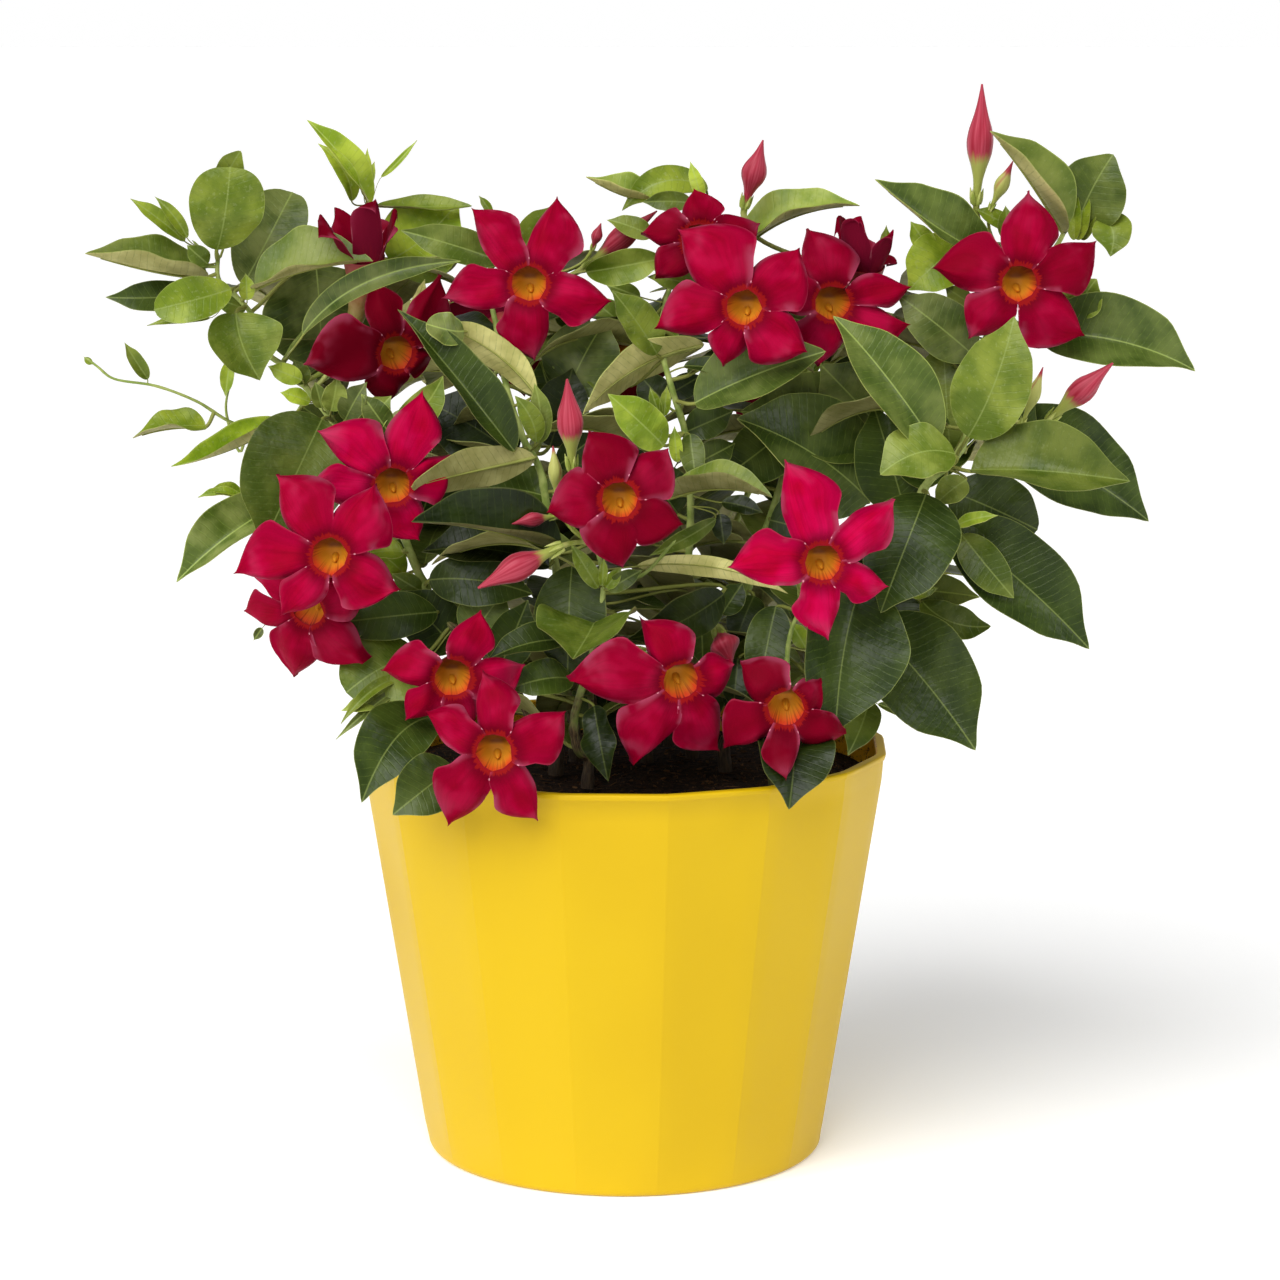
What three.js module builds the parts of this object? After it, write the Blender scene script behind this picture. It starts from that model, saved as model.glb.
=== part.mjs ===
// Potted mandevilla: a climbing plant with crimson funnel flowers in a sixteen-sided pot.
// Millimetres, +Z up. The origin is the centre of the pot's underside, and the front is -Y.
// Every leaf, flower and bud is one closed body with its own stalk, seated on the vine that bears it.
import * as THREE from 'three';

// ---------------------------------------------------------------- driving dimensions

const POT = {
  sides: 16,
  firstCorner: 9,        // degrees from the front to the first ridge
  height: 180.5,
  rimRadius: 116.8,      // to the ridges
  footRadius: 88.4,
  footBevel: 3,
  wall: 2.4,
  floor: 3,
  lipWidth: 4.6,
  lipHeight: 3,
  lipStep: 0.8,          // how far the lip stands proud of the wall
};

const SOIL = {
  belowRim: 10.5,
  edgeDrop: 3,           // the surface falls a little towards the wall
  flatShare: 0.85,       // share of the radius that is level
};

const SEAT_GAP = 0.3;    // clearance between a piece and what carries it

const VINE = { sides: 6, step: 13, straightStart: 14 };

const LEAF = {
  thickness: 1.1,
  petioleRadius: 0.9,
  sides: 8,
  petioleStations: [0, 0.4, 0.75],
  bladeStations: [0, 0.13, 0.3, 0.5, 0.7, 0.87, 1],
};

const FLOWER = {
  throatRadius: 9,
  throatFloor: 20,       // depth of the open throat
  throatWaist: 4.5,
  petalThickness: 0.9,
  notch: 0.52,           // radius of the notch between two lobes, as a share of the shorter one's
  notchLeast: 12,
  notchLift: 0.1,        // share of its two lobes' lift
  shoulder: 0.8,         // radius of a lobe's round shoulder, as a share of its length
  tipDroop: 2.5,
  undersideBand: 3,      // its faces are halved like those of the upper side, which they follow
};

// Outer radius of tube, calyx and stalk at a share of the way from the throat to the vine.
const FLOWER_TUBE = [[0.1, 7.6], [0.3, 4.2], [0.5, 2.5], [0.58, 2.9], [0.68, 1.4], [0.85, 1.1], [1, 1.1]];

// Radius of a bud, as a share of its greatest radius, at a share of its length from base to tip.
const BUD_PROFILE = [[0, 0.3], [0.22, 0.38], [0.45, 0.8], [0.6, 1], [0.72, 0.86], [0.88, 0.35]];
const BUD = { sides: 8, stalkRadius: 1.1 };

// The front drawing that places the plant: an eye in front of the pot looks slightly down at it.
// A place is [across, down, deep]: drawing squares from the sheet's top left corner, and millimetres
// behind the pot's axis.
const DRAWING = {
  eyeDistance: 1576.8,
  eyeHeight: 486.9,
  lookDown: 9.39,        // degrees
  squaresPerUnit: 3641.7,
  middleAcross: 624.8,
  middleDown: 640,
};

// ---------------------------------------------------------------- layout

// Vines: the root on the soil in mm, the radius, and the places that the stem passes through.
const VINES = {
  vine_left: {
    root: [-30, -22], radius: 2.6,
    through: [[541, 742, -24], [524, 704, -24], [486, 655, -24], [444, 618, -22], [421, 578, -18],
      [403, 535, -12], [368, 470, 0], [324, 410, 8], [290, 370, 12], [266, 352, 12], [254, 318, 12],
      [237, 297, 12], [219, 280, 12], [218, 252, 11]],
  },
  vine_middle_left: {
    root: [-22, 8], radius: 2.4,
    through: [[566, 690, 2], [560, 600, -8], [548, 520, -22], [540, 470, -26], [524, 440, -24],
      [510, 400, -18], [503, 370, -8], [498, 335, 4], [490, 300, 14], [478, 262, 20], [466, 232, 22]],
  },
  vine_centre: {
    root: [-16, -50], radius: 2.3,
    through: [[579, 752, -53], [574, 722, -56], [583, 685, -58], [594, 645, -60], [601, 612, -60],
      [603, 588, -60], [600, 560, -60], [592, 534, -58]],
  },
  vine_centre_high: {
    root: [10, 6], radius: 2.2,
    through: [[668, 650, 4], [688, 560, 0], [690, 480, -6], [685, 432, -10], [677, 405, -12],
      [668, 375, -12], [661, 345, -4], [664, 310, 14], [676, 270, 32], [692, 235, 42], [702, 200, 42]],
  },
  vine_right_centre: {
    root: [30, 16], radius: 2.4,
    through: [[728, 650, 20], [756, 560, 22], [785, 470, 24], [802, 400, 26], [818, 345, 30],
      [835, 300, 44], [848, 262, 54]],
  },
  vine_right: {
    root: [44, -14], radius: 2.6,
    through: [[756, 718, -18], [826, 660, -22], [878, 596, -28], [904, 545, -34], [917, 503, -38],
      [930, 480, -38], [950, 464, -34], [966, 438, -26], [976, 385, -12], [986, 338, -2],
      [1010, 300, 18], [1045, 262, 32], [1064, 232, 34], [1070, 200, 30]],
  },
  vine_right_front: {
    root: [64, -44], radius: 2,
    through: [[788, 742, -50], [789, 700, -54], [787, 660, -54], [792, 628, -52], [806, 600, -46]],
  },
  vine_back_left: {
    root: [-14, 42], radius: 2.2,
    through: [[585, 660, 58], [552, 560, 84], [520, 460, 104], [492, 380, 112], [470, 320, 112]],
  },
  vine_back_right: {
    root: [20, 44], radius: 2.2,
    through: [[672, 660, 60], [720, 560, 88], [762, 460, 108], [800, 380, 116], [826, 310, 114]],
  },
  twig_left: {
    bornOn: 'vine_left', radius: 1.1,
    through: [[282, 428, 20], [236, 424, 14], [196, 401, 8], [156, 386, 4], [112, 378, 2], [98, 367, 0],
      [85, 357, 0]],
  },
};

// Leaves: [name, vine, base, tip, width mm, roll, arch, fold, bend, blunt]. Roll turns the upper
// face from the eye about the leaf's length, anticlockwise as seen from the tip, in degrees. Arch
// bows the midrib, as a share of the length, and fold raises both halves, in degrees. Bend bows the
// midrib to the right of its heading, as a share of the length, and blunt rounds the tip, 0 to 1.
const LEAVES = [
  ['leaf_top_left_round', 'vine_left', [217, 250, 2], [230, 166, -4], 32.5, 10, 0.11, 0, 0.01, 1],
  ['leaf_top_left_grey', 'vine_left', [243, 285, 18], [292, 187, 34], 29.7, -6, 0.06, 9, 0.02, 0.9],
  ['leaf_far_left', 'vine_left', [208, 276, 10], [89, 247, -12], 21, 68, 0.02, 47, -0.07, 0.1],
  ['leaf_left_large', 'vine_left', [316, 266, 30], [322, 382, 26], 54.1, -9, -0.05, 6, -0.02, 0],
  ['leaf_left_low_grey', 'vine_left', [276, 506, 4], [172, 578, -22], 22.5, 30, 0.15, 39, -0.05, 0],
  ['leaf_left_front', 'vine_left', [322, 419, -12], [262, 548, -38], 46.8, -5, 0.1, 12, 0.01, 0],
  ['leaf_middle_dark', 'vine_middle_left', [514, 451, -36], [401, 307, -34], 21.1, 35, 0.04, 38, -0.02, 0],
  ['leaf_middle_crossing', 'vine_centre_high', [695, 403, -24], [825, 350, -34],
    29.3, -30, 0.07, 24, 0.01, 0.2],
  ['leaf_centre_large', 'vine_right_centre', [870, 501, 6], [740, 416, -22], 50.2, 25, 0, 14, 0.05, 0.1],
  ['leaf_right_upper', 'vine_right', [992, 257, 8], [879, 177, -4], 24.8, 44, 0.03, 37, -0.07, 0],
  ['leaf_right_glossy', 'vine_right', [935, 445, -50], [839, 311, -52], 30.1, 28, 0.06, 26, -0.02, 0],
  ['leaf_right_bright', 'vine_right', [968, 437, -48], [1014, 316, -52], 32.6, -5, 0.07, 7, 0.05, 0],
  ['leaf_far_right', 'vine_right', [1041, 334, 6], [1199, 366, -4], 33, -22, 0.07, 38, -0.03, 0],
  ['leaf_right_side', 'vine_right', [971, 470, -48], [1131, 475, -66], 34.1, -40, 0.07, 38, 0.03, 0],
  ['leaf_right_behind', 'vine_right', [991, 426, 4], [1155, 516, -6], 43, -25, 0.06, 23, 0.01, 0],
  ['leaf_right_front', 'vine_right', [926, 494, -56], [879, 612, -78], 41.2, 16, 0.1, 3, -0.03, 0],
  ['leaf_right_lower', 'vine_right', [953, 526, -34], [1094, 646, -48], 37.5, -18, 0.04, 20, 0, 0],
  ['leaf_right_low', 'vine_right', [870, 623, -44], [976, 748, -66], 44.2, -14, -0.02, 28, -0.03, 0],
  ['leaf_right_hanging', 'vine_right', [861, 585, -61], [837, 729, -85], 46.9, -20, 0.09, 32, 0.07, 0.3],
  ['leaf_over_rim_left', 'vine_left', [436, 717, -65], [362, 802, -106], 28.4, 12, 0.14, 10, 0.09, 0],
  ['leaf_back_left', 'vine_back_left', [470, 372, 122], [396, 300, 160], 40, 170, 0.1, 8, 0, 0],
  ['leaf_back_middle', 'vine_back_left', [566, 520, 104], [606, 560, 158], 42, 168, 0.12, 8, 0, 0],
  ['leaf_back_right', 'vine_back_right', [826, 380, 122], [900, 330, 164], 40, 190, 0.1, 8, 0, 0],
];

// Flowers: [name, vine, throat centre, turn to the right, tilt up, five lobe tips]. A tip is
// [across, down] in the flower's own plane, or [across, down, deep] where the lobe leaves it.
const FLOWERS = [
  ['flower_upper_left', 'vine_middle_left', [529, 284, -28], 0, 6,
    [[470, 206], [557, 195], [612, 301], [534, 361], [441, 298]]],
  ['flower_far_right', 'vine_right', [1020, 283, -26], 4, 8,
    [[1033, 188], [1100, 239], [1087, 335], [971, 338], [936, 266]]],
  ['flower_upper_middle', 'vine_centre_high', [744, 307, -46], -8, 6,
    [[676, 228], [798, 247], [806, 352], [720, 366], [651, 328]]],
  ['flower_upper_right', 'vine_right_centre', [833, 303, -20], 8, 8,
    [[812, 226], [914, 286], [913, 324], [823, 365], [772, 290]]],
  ['flower_top_middle', 'vine_centre_high', [700, 240, -10], 0, 16,
    [[694, 185], [761, 219], [740, 282], [655, 276], [641, 228]]],
  ['flower_top_right', 'vine_right_centre', [864, 262, 6], 16, 70,
    [[838, 206, 0], [862, 202, -20], [895, 224, -10], [890, 240, 18], [852, 228, 26]]],
  ['flower_left_shaded', 'vine_left', [397, 354, -4], 22, -4,
    [[306, 366], [380, 283], [446, 277], [438, 360], [394, 408]]],
  ['flower_top_left', 'vine_left', [364, 254, 4], 0, 72,
    [[317, 204, -16], [334, 204, 22], [370, 204, 30], [397, 197, 2], [375, 181, -20]]],
  ['flower_left_high', 'vine_left', [393, 486, -48], 6, 4,
    [[317, 431], [424, 391], [452, 456], [420, 541], [308, 484]]],
  ['flower_left_outer', 'vine_left', [329, 556, -76], -8, 4,
    [[272, 475], [374, 484], [395, 592], [280, 616], [230, 575]]],
  ['flower_left_low', 'vine_left', [306, 610, -52], -26, -14,
    [[251, 580], [346, 578], [359, 667], [287, 683], [231, 620]]],
  ['flower_lower_left', 'vine_left', [453, 678, -92], 6, 6,
    [[482, 611], [527, 666], [470, 738], [406, 722], [382, 672]]],
  ['flower_over_rim', 'vine_left', [494, 753, -122], -4, 6,
    [[480, 672], [565, 712], [536, 823], [445, 829], [424, 712]]],
  ['flower_centre', 'vine_centre', [619, 500, -88], 0, 6,
    [[588, 430], [669, 448], [684, 525], [623, 569], [546, 513]]],
  ['flower_right_front', 'vine_right_front', [823, 563, -98], 6, 4,
    [[787, 460], [898, 500], [892, 588], [829, 641], [730, 569]]],
  ['flower_lower_middle', 'vine_centre', [682, 682, -98], 14, -6,
    [[650, 627], [738, 668], [726, 758], [637, 770], [574, 686]]],
  ['flower_lower_right', 'vine_right_front', [786, 709, -100], 0, -8,
    [[741, 670], [823, 687], [848, 741], [786, 782, -113], [724, 753]]],
];

// Buds: [name, vine, base, tip, greatest radius mm].
const BUDS = [
  ['bud_tallest', 'vine_right', [976, 204, 10], [982, 84, 2], 6],
  ['bud_top_middle', 'vine_right_centre', [744, 208, 30], [763, 140, 26], 5.5],
  ['bud_top_lying', 'vine_middle_left', [584, 268, 34], [657, 211, 28], 5],
  ['bud_centre', 'vine_centre', [572, 470, -66], [567, 379, -72], 5.8],
  ['bud_pointing_left', 'vine_centre', [562, 546, -74], [478, 588, -86], 6.2],
  ['bud_far_right', 'vine_right', [1048, 421, -18], [1113, 363, -30], 5.6],
  ['bud_hanging', 'vine_centre_high', [716, 627, -40], [732, 663, -48], 6.6],
];

// ---------------------------------------------------------------- finishes

const FINISH = {
  pot: { color: '#f0bf22', roughness: 0.42 },
  soil: { color: '#2a1c14', roughness: 0.95 },
  vine: { color: '#7d8f45', roughness: 0.6 },
  leaf: { color: '#3f5f28', roughness: 0.35 },
  petal: { color: '#b0062c', roughness: 0.6 },
  bud: { color: '#b8434f', roughness: 0.5 },
};

// ---------------------------------------------------------------- helpers

const radians = THREE.MathUtils.degToRad;

// Turns a place on the front drawing into millimetres.
function place([across, down, deep]) {
  const right = (across - DRAWING.middleAcross) / DRAWING.squaresPerUnit;
  const up = (DRAWING.middleDown - down) / DRAWING.squaresPerUnit;
  const pitch = radians(DRAWING.lookDown);
  const forward = Math.cos(pitch) + up * Math.sin(pitch);
  const rise = up * Math.cos(pitch) - Math.sin(pitch);
  const reach = (deep + DRAWING.eyeDistance) / forward;
  return new THREE.Vector3(right * reach, deep, DRAWING.eyeHeight + rise * reach);
}

const EYE = new THREE.Vector3(0, -DRAWING.eyeDistance, DRAWING.eyeHeight);

// Where the sight line through a place on the drawing meets the plane through point with a normal.
function placeOnPlane([across, down], point, normal) {
  const sight = place([across, down, 0]).sub(EYE);
  const reach = point.clone().sub(EYE).dot(normal) / sight.dot(normal);
  return EYE.clone().addScaledVector(sight, reach);
}

// The part of a vector that is square to a direction, as a unit vector.
function squareTo(vector, direction) {
  return vector.clone().addScaledVector(direction, -vector.dot(direction)).normalize();
}

// Unit tangents of a row of points.
function tangentsOf(points) {
  return points.map((point, i) => {
    const before = points[Math.max(i - 1, 0)];
    const after = points[Math.min(i + 1, points.length - 1)];
    return after.clone().sub(before).normalize();
  });
}

// A point on the cubic curve with four poles.
function alongBezier(poles, share) {
  return new THREE.CubicBezierCurve3(...poles).getPoint(share);
}

// A closed skin through rings of equal count, with a fan at each end. A ring runs anticlockwise
// about the direction of travel. A pole replaces the middle of an end ring. The four-cornered faces
// are halved along one diagonal, and those of the mirrored band along the other.
function loft(rings, startPole, endPole, mirrored) {
  const count = rings[0].length;
  const middle = (ring) => ring.reduce((sum, p) => sum.add(p), new THREE.Vector3()).divideScalar(count);
  const points = [...rings.flat(), startPole ?? middle(rings[0]), endPole ?? middle(rings.at(-1))];
  const first = points.length - 2;
  const last = points.length - 1;
  const end = (rings.length - 1) * count;
  const faces = [];
  for (let j = 0; j < count; j += 1) {
    const next = (j + 1) % count;
    faces.push(first, next, j);
    faces.push(last, end + j, end + next);
    for (let i = 0; i < rings.length - 1; i += 1) {
      const here = i * count;
      const there = here + count;
      const corners = [here + next, there + next, there + j, here + j];
      if (i === mirrored) {
        corners.unshift(corners.pop());
      }
      const [a, b, c, d] = corners;
      faces.push(a, b, c, a, c, d);
    }
  }
  const geometry = new THREE.BufferGeometry().setFromPoints(points);
  geometry.setIndex(faces);
  geometry.computeVertexNormals();
  return geometry;
}

// A ring about a centre: wide along sideways and high along upward, with sideways x upward = travel.
function ringAbout(centre, sideways, upward, wide, high, count) {
  return Array.from({ length: count }, (_, i) => {
    const angle = (i / count) * 2 * Math.PI;
    return centre.clone()
      .addScaledVector(sideways, wide * Math.cos(angle))
      .addScaledVector(upward, high * Math.sin(angle));
  });
}

// The point where a stalk leaves a vine, just off its skin, on the side that faces the target.
function seatOn(vine, target) {
  let best = { distance: Infinity };
  for (let i = 1; i < vine.axis.length - 1; i += 1) {
    const piece = new THREE.Line3(vine.axis[i], vine.axis[i + 1]);
    const point = piece.closestPointToPoint(target, true, new THREE.Vector3());
    const distance = point.distanceTo(target);
    if (distance < best.distance) {
      best = { distance, point, along: piece.delta(new THREE.Vector3()).normalize() };
    }
  }
  const outward = squareTo(target.clone().sub(best.point), best.along);
  const start = best.point.clone().addScaledVector(outward, vine.radius + SEAT_GAP);
  return { start, outward, distance: best.distance };
}

// The four poles of a stalk that leaves its vine squarely and arrives along a heading.
function stalkPoles(seat, end, heading) {
  const reach = seat.start.distanceTo(end);
  const leave = seat.start.clone().addScaledVector(seat.outward, reach * 0.3);
  const arrive = end.clone().addScaledVector(heading, -reach * 0.35);
  return [seat.start, leave, arrive, end];
}

// ---------------------------------------------------------------- pot and soil

// A body turned about the pot's axis in sixteen flat sides, with a ridge at the first corner.
function facetedTurn(profile) {
  const outline = profile.map(([radius, height]) => new THREE.Vector2(radius, height));
  const geometry = new THREE.LatheGeometry(outline, POT.sides, radians(POT.firstCorner));
  geometry.rotateX(Math.PI / 2);
  return geometry;
}

// Outer radius of the pot's wall at a height.
function wallRadius(height) {
  return THREE.MathUtils.lerp(POT.footRadius, POT.rimRadius, height / POT.height);
}

function potGeometry() {
  const lipBottom = POT.height - POT.lipHeight;
  const inner = (height) => wallRadius(height) - POT.wall;
  return facetedTurn([
    [0, 0],
    [POT.footRadius - POT.footBevel, 0],
    [wallRadius(POT.footBevel), POT.footBevel],
    [wallRadius(lipBottom) - POT.lipStep, lipBottom],
    [wallRadius(lipBottom), lipBottom],
    [POT.rimRadius, POT.height],
    [POT.rimRadius - POT.lipWidth, POT.height],
    [inner(lipBottom - POT.lipHeight), lipBottom - POT.lipHeight],
    [inner(POT.floor), POT.floor],
    [0, POT.floor],
  ]);
}

const SOIL_TOP = POT.height - SOIL.belowRim;

function soilGeometry() {
  const edge = SOIL_TOP - SOIL.edgeDrop;
  const bottom = POT.floor + SEAT_GAP;
  const inside = (height) => wallRadius(height) - POT.wall - SEAT_GAP;
  return facetedTurn([
    [0, bottom],
    [inside(bottom), bottom],
    [inside(edge), edge],
    [inside(edge) * SOIL.flatShare, SOIL_TOP],
    [0, SOIL_TOP],
  ]);
}

// ---------------------------------------------------------------- vines

// A vine's axis as a row of points, and its radius: stalks are seated on these.
function vineAxis({ root, bornOn, radius, through }) {
  const places = through.map(place);
  const start = [];
  if (root) {
    start.push(new THREE.Vector3(...root, SOIL_TOP + SEAT_GAP));
    start.push(new THREE.Vector3(...root, SOIL_TOP + VINE.straightStart));
  } else {
    const seat = seatOn(vines[bornOn], places[0]);
    start.push(seat.start, seat.start.clone().addScaledVector(seat.outward, VINE.straightStart / 2));
  }
  const path = new THREE.CatmullRomCurve3([...start, ...places], false, 'centripetal');
  const steps = Math.ceil(path.getLength() / VINE.step);
  return { path, steps, radius, axis: path.getSpacedPoints(steps) };
}

function vineGeometry({ path, steps, radius }) {
  const corners = Array.from({ length: VINE.sides }, (_, i) => {
    const angle = (i / VINE.sides) * 2 * Math.PI;
    return new THREE.Vector2(radius * Math.cos(angle), radius * Math.sin(angle));
  });
  return new THREE.ExtrudeGeometry(new THREE.Shape(corners), { extrudePath: path, steps });
}

const vines = {};
for (const [name, layout] of Object.entries(VINES)) {
  vines[name] = vineAxis(layout);
}

// ---------------------------------------------------------------- leaves

// Half width of a blade, as a share of its greatest half width, from base to tip.
function bladeShare(along, blunt) {
  const rise = 0.6;
  const fall = 0.74 - 0.36 * blunt;
  const fullest = rise / (rise + fall);
  const oval = (along / fullest) ** rise * ((1 - along) / (1 - fullest)) ** fall;
  const drip = 1 - 0.45 * (1 - blunt) * THREE.MathUtils.smoothstep(along, 0.74, 0.97);
  return oval * drip;
}

function leafGeometry(vine, base, tip, width, roll, arch, fold, bend, blunt) {
  const foot = place(base);
  const end = place(tip);
  const heading = end.clone().sub(foot).normalize();
  const length = end.distanceTo(foot);
  const toEye = squareTo(EYE.clone().sub(foot), heading);
  const face = toEye.clone().applyAxisAngle(heading, radians(roll));
  const sideways = new THREE.Vector3().crossVectors(heading, face);
  const rise = arch * length * 2;
  const aside = new THREE.Vector3().crossVectors(heading, toEye);
  const crown = foot.clone().lerp(end, 0.45)
    .addScaledVector(face, rise)
    .addScaledVector(aside, bend * length * 2);
  const midrib = new THREE.QuadraticBezierCurve3(foot, crown, end);
  const stalk = stalkPoles(seatOn(vine, foot), foot, midrib.getTangent(0));
  const stations = [
    ...LEAF.petioleStations.map((share) => ({ point: alongBezier(stalk, share), half: 0 })),
    ...LEAF.bladeStations.map((share) => ({
      point: midrib.getPoint(share),
      half: (width / 2) * bladeShare(share, blunt),
    })),
  ];
  const points = stations.map((station) => station.point);
  const tangents = tangentsOf(points);
  const lift = Math.tan(radians(fold));
  const rings = stations.slice(0, -1).map(({ point, half }, i) => {
    const across = squareTo(sideways, tangents[i]);
    const under = new THREE.Vector3().crossVectors(tangents[i], across);
    const wide = Math.max(half, LEAF.petioleRadius);
    const high = half > 0 ? LEAF.thickness / 2 : LEAF.petioleRadius;
    return ringAbout(point, across, under, wide, high, LEAF.sides).map((corner, j) => {
      const out = Math.abs(Math.cos((j / LEAF.sides) * 2 * Math.PI)) * half;
      return corner.addScaledVector(under, -lift * out);
    });
  });
  return loft(rings, undefined, points.at(-1));
}

// ---------------------------------------------------------------- flowers

function flowerGeometry(vine, centre, turn, tilt, tips) {
  const middle = place(centre);
  const face = new THREE.Vector3(
    Math.sin(radians(turn)) * Math.cos(radians(tilt)),
    -Math.cos(radians(turn)) * Math.cos(radians(tilt)),
    Math.sin(radians(tilt)),
  );
  const right = squareTo(new THREE.Vector3(1, 0, 0), face);
  const down = new THREE.Vector3().crossVectors(right, face);
  const lobes = tips.map((tip) => {
    const point = tip.length > 2 ? place(tip) : placeOnPlane(tip, middle, face);
    const arm = point.clone().sub(middle);
    const angle = Math.atan2(arm.dot(down), arm.dot(right));
    return { angle, reach: Math.hypot(arm.dot(down), arm.dot(right)), lift: arm.dot(face) };
  }).sort((a, b) => a.angle - b.angle);
  // Three corners a lobe, clockwise as seen from the front: tip, round shoulder, notch.
  const corners = lobes.flatMap((lobe, i) => {
    const next = lobes[(i + 1) % lobes.length];
    const span = (next.angle - lobe.angle + 2 * Math.PI) % (2 * Math.PI);
    const notch = Math.max(Math.min(lobe.reach, next.reach) * FLOWER.notch, FLOWER.notchLeast);
    return [
      { angle: lobe.angle, reach: lobe.reach, lift: lobe.lift - FLOWER.tipDroop },
      { angle: lobe.angle + span * 0.24, reach: lobe.reach * FLOWER.shoulder, lift: lobe.lift * 0.8 },
      { angle: lobe.angle + span * 0.5, reach: notch, lift: (lobe.lift + next.lift) * FLOWER.notchLift },
    ];
  });
  const at = (angle, reach, lift) => middle.clone()
    .addScaledVector(right, reach * Math.cos(angle))
    .addScaledVector(down, reach * Math.sin(angle))
    .addScaledVector(face, lift);
  const level = (reach, lift) => corners.map(({ angle }) => at(angle, reach, lift));
  const edge = (drop) => corners.map(({ angle, reach, lift }) => at(angle, reach, lift - drop));

  const seat = seatOn(vine, at(0, 0, -45));
  const back = [middle, at(0, 0, -30), seat.start.clone().addScaledVector(seat.outward, 12), seat.start];
  const shares = FLOWER_TUBE.map(([share]) => share);
  const points = [middle, ...shares.map((share) => alongBezier(back, share))];
  const tangents = tangentsOf(points);
  const tube = FLOWER_TUBE.map(([, radius], i) => {
    const across = squareTo(right, tangents[i + 1]);
    const beneath = new THREE.Vector3().crossVectors(tangents[i + 1], across);
    return corners.map(({ angle }) => points[i + 1].clone()
      .addScaledVector(across, radius * Math.cos(angle))
      .addScaledVector(beneath, radius * Math.sin(angle)));
  });
  return loft([
    level(FLOWER.throatWaist, -FLOWER.throatFloor / 2),
    level(FLOWER.throatRadius, 0),
    edge(0),
    edge(FLOWER.petalThickness),
    level(FLOWER.throatRadius + FLOWER.petalThickness, -FLOWER.petalThickness * 2),
    ...tube,
  ], at(0, 0, -FLOWER.throatFloor * 0.6), undefined, FLOWER.undersideBand);
}

// ---------------------------------------------------------------- buds

function budGeometry(vine, base, tip, radius) {
  const foot = place(base);
  const end = place(tip);
  const heading = end.clone().sub(foot).normalize();
  const stalk = stalkPoles(seatOn(vine, foot), foot, heading);
  const stations = [
    ...LEAF.petioleStations.map((share) => [alongBezier(stalk, share), BUD.stalkRadius]),
    ...BUD_PROFILE.map(([share, size]) => [foot.clone().lerp(end, share), radius * size]),
  ];
  const tangents = tangentsOf([...stations.map(([point]) => point), end]);
  let across = squareTo(new THREE.Vector3(1, 0.2, 0.1), heading);
  const rings = [];
  for (let i = stations.length - 1; i >= 0; i -= 1) {
    across = squareTo(across, tangents[i]);
    const upward = new THREE.Vector3().crossVectors(tangents[i], across);
    rings.unshift(ringAbout(stations[i][0], across, upward, stations[i][1], stations[i][1], BUD.sides));
  }
  return loft(rings, undefined, end);
}

// ---------------------------------------------------------------- assembly

const group = new THREE.Group();

function add(name, geometry, finish) {
  const mesh = new THREE.Mesh(geometry, new THREE.MeshStandardMaterial({ metalness: 0, ...finish }));
  mesh.name = name;
  group.add(mesh);
}

add('pot', potGeometry(), FINISH.pot);
add('soil', soilGeometry(), FINISH.soil);
for (const [name, vine] of Object.entries(vines)) {
  add(name, vineGeometry(vine), FINISH.vine);
}
for (const [name, vine, ...shape] of LEAVES) {
  add(name, leafGeometry(vines[vine], ...shape), FINISH.leaf);
}
for (const [name, vine, ...shape] of FLOWERS) {
  add(name, flowerGeometry(vines[vine], ...shape), FINISH.petal);
}
for (const [name, vine, ...shape] of BUDS) {
  add(name, budGeometry(vines[vine], ...shape), FINISH.bud);
}

export default group;
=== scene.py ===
"""A potted mandevilla: crimson funnel flowers and glossy leaves on vines in a sixteen-sided pot.

Metres, +Z up, the front at -Y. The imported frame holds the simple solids; every one of them is
stood in for by a finely modelled piece in the same place, and the foliage too fine for the
frame is added on the same vines.
"""

import logging
import math
from collections.abc import Iterable, Sequence
from dataclasses import dataclass, field
from enum import Enum

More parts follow.
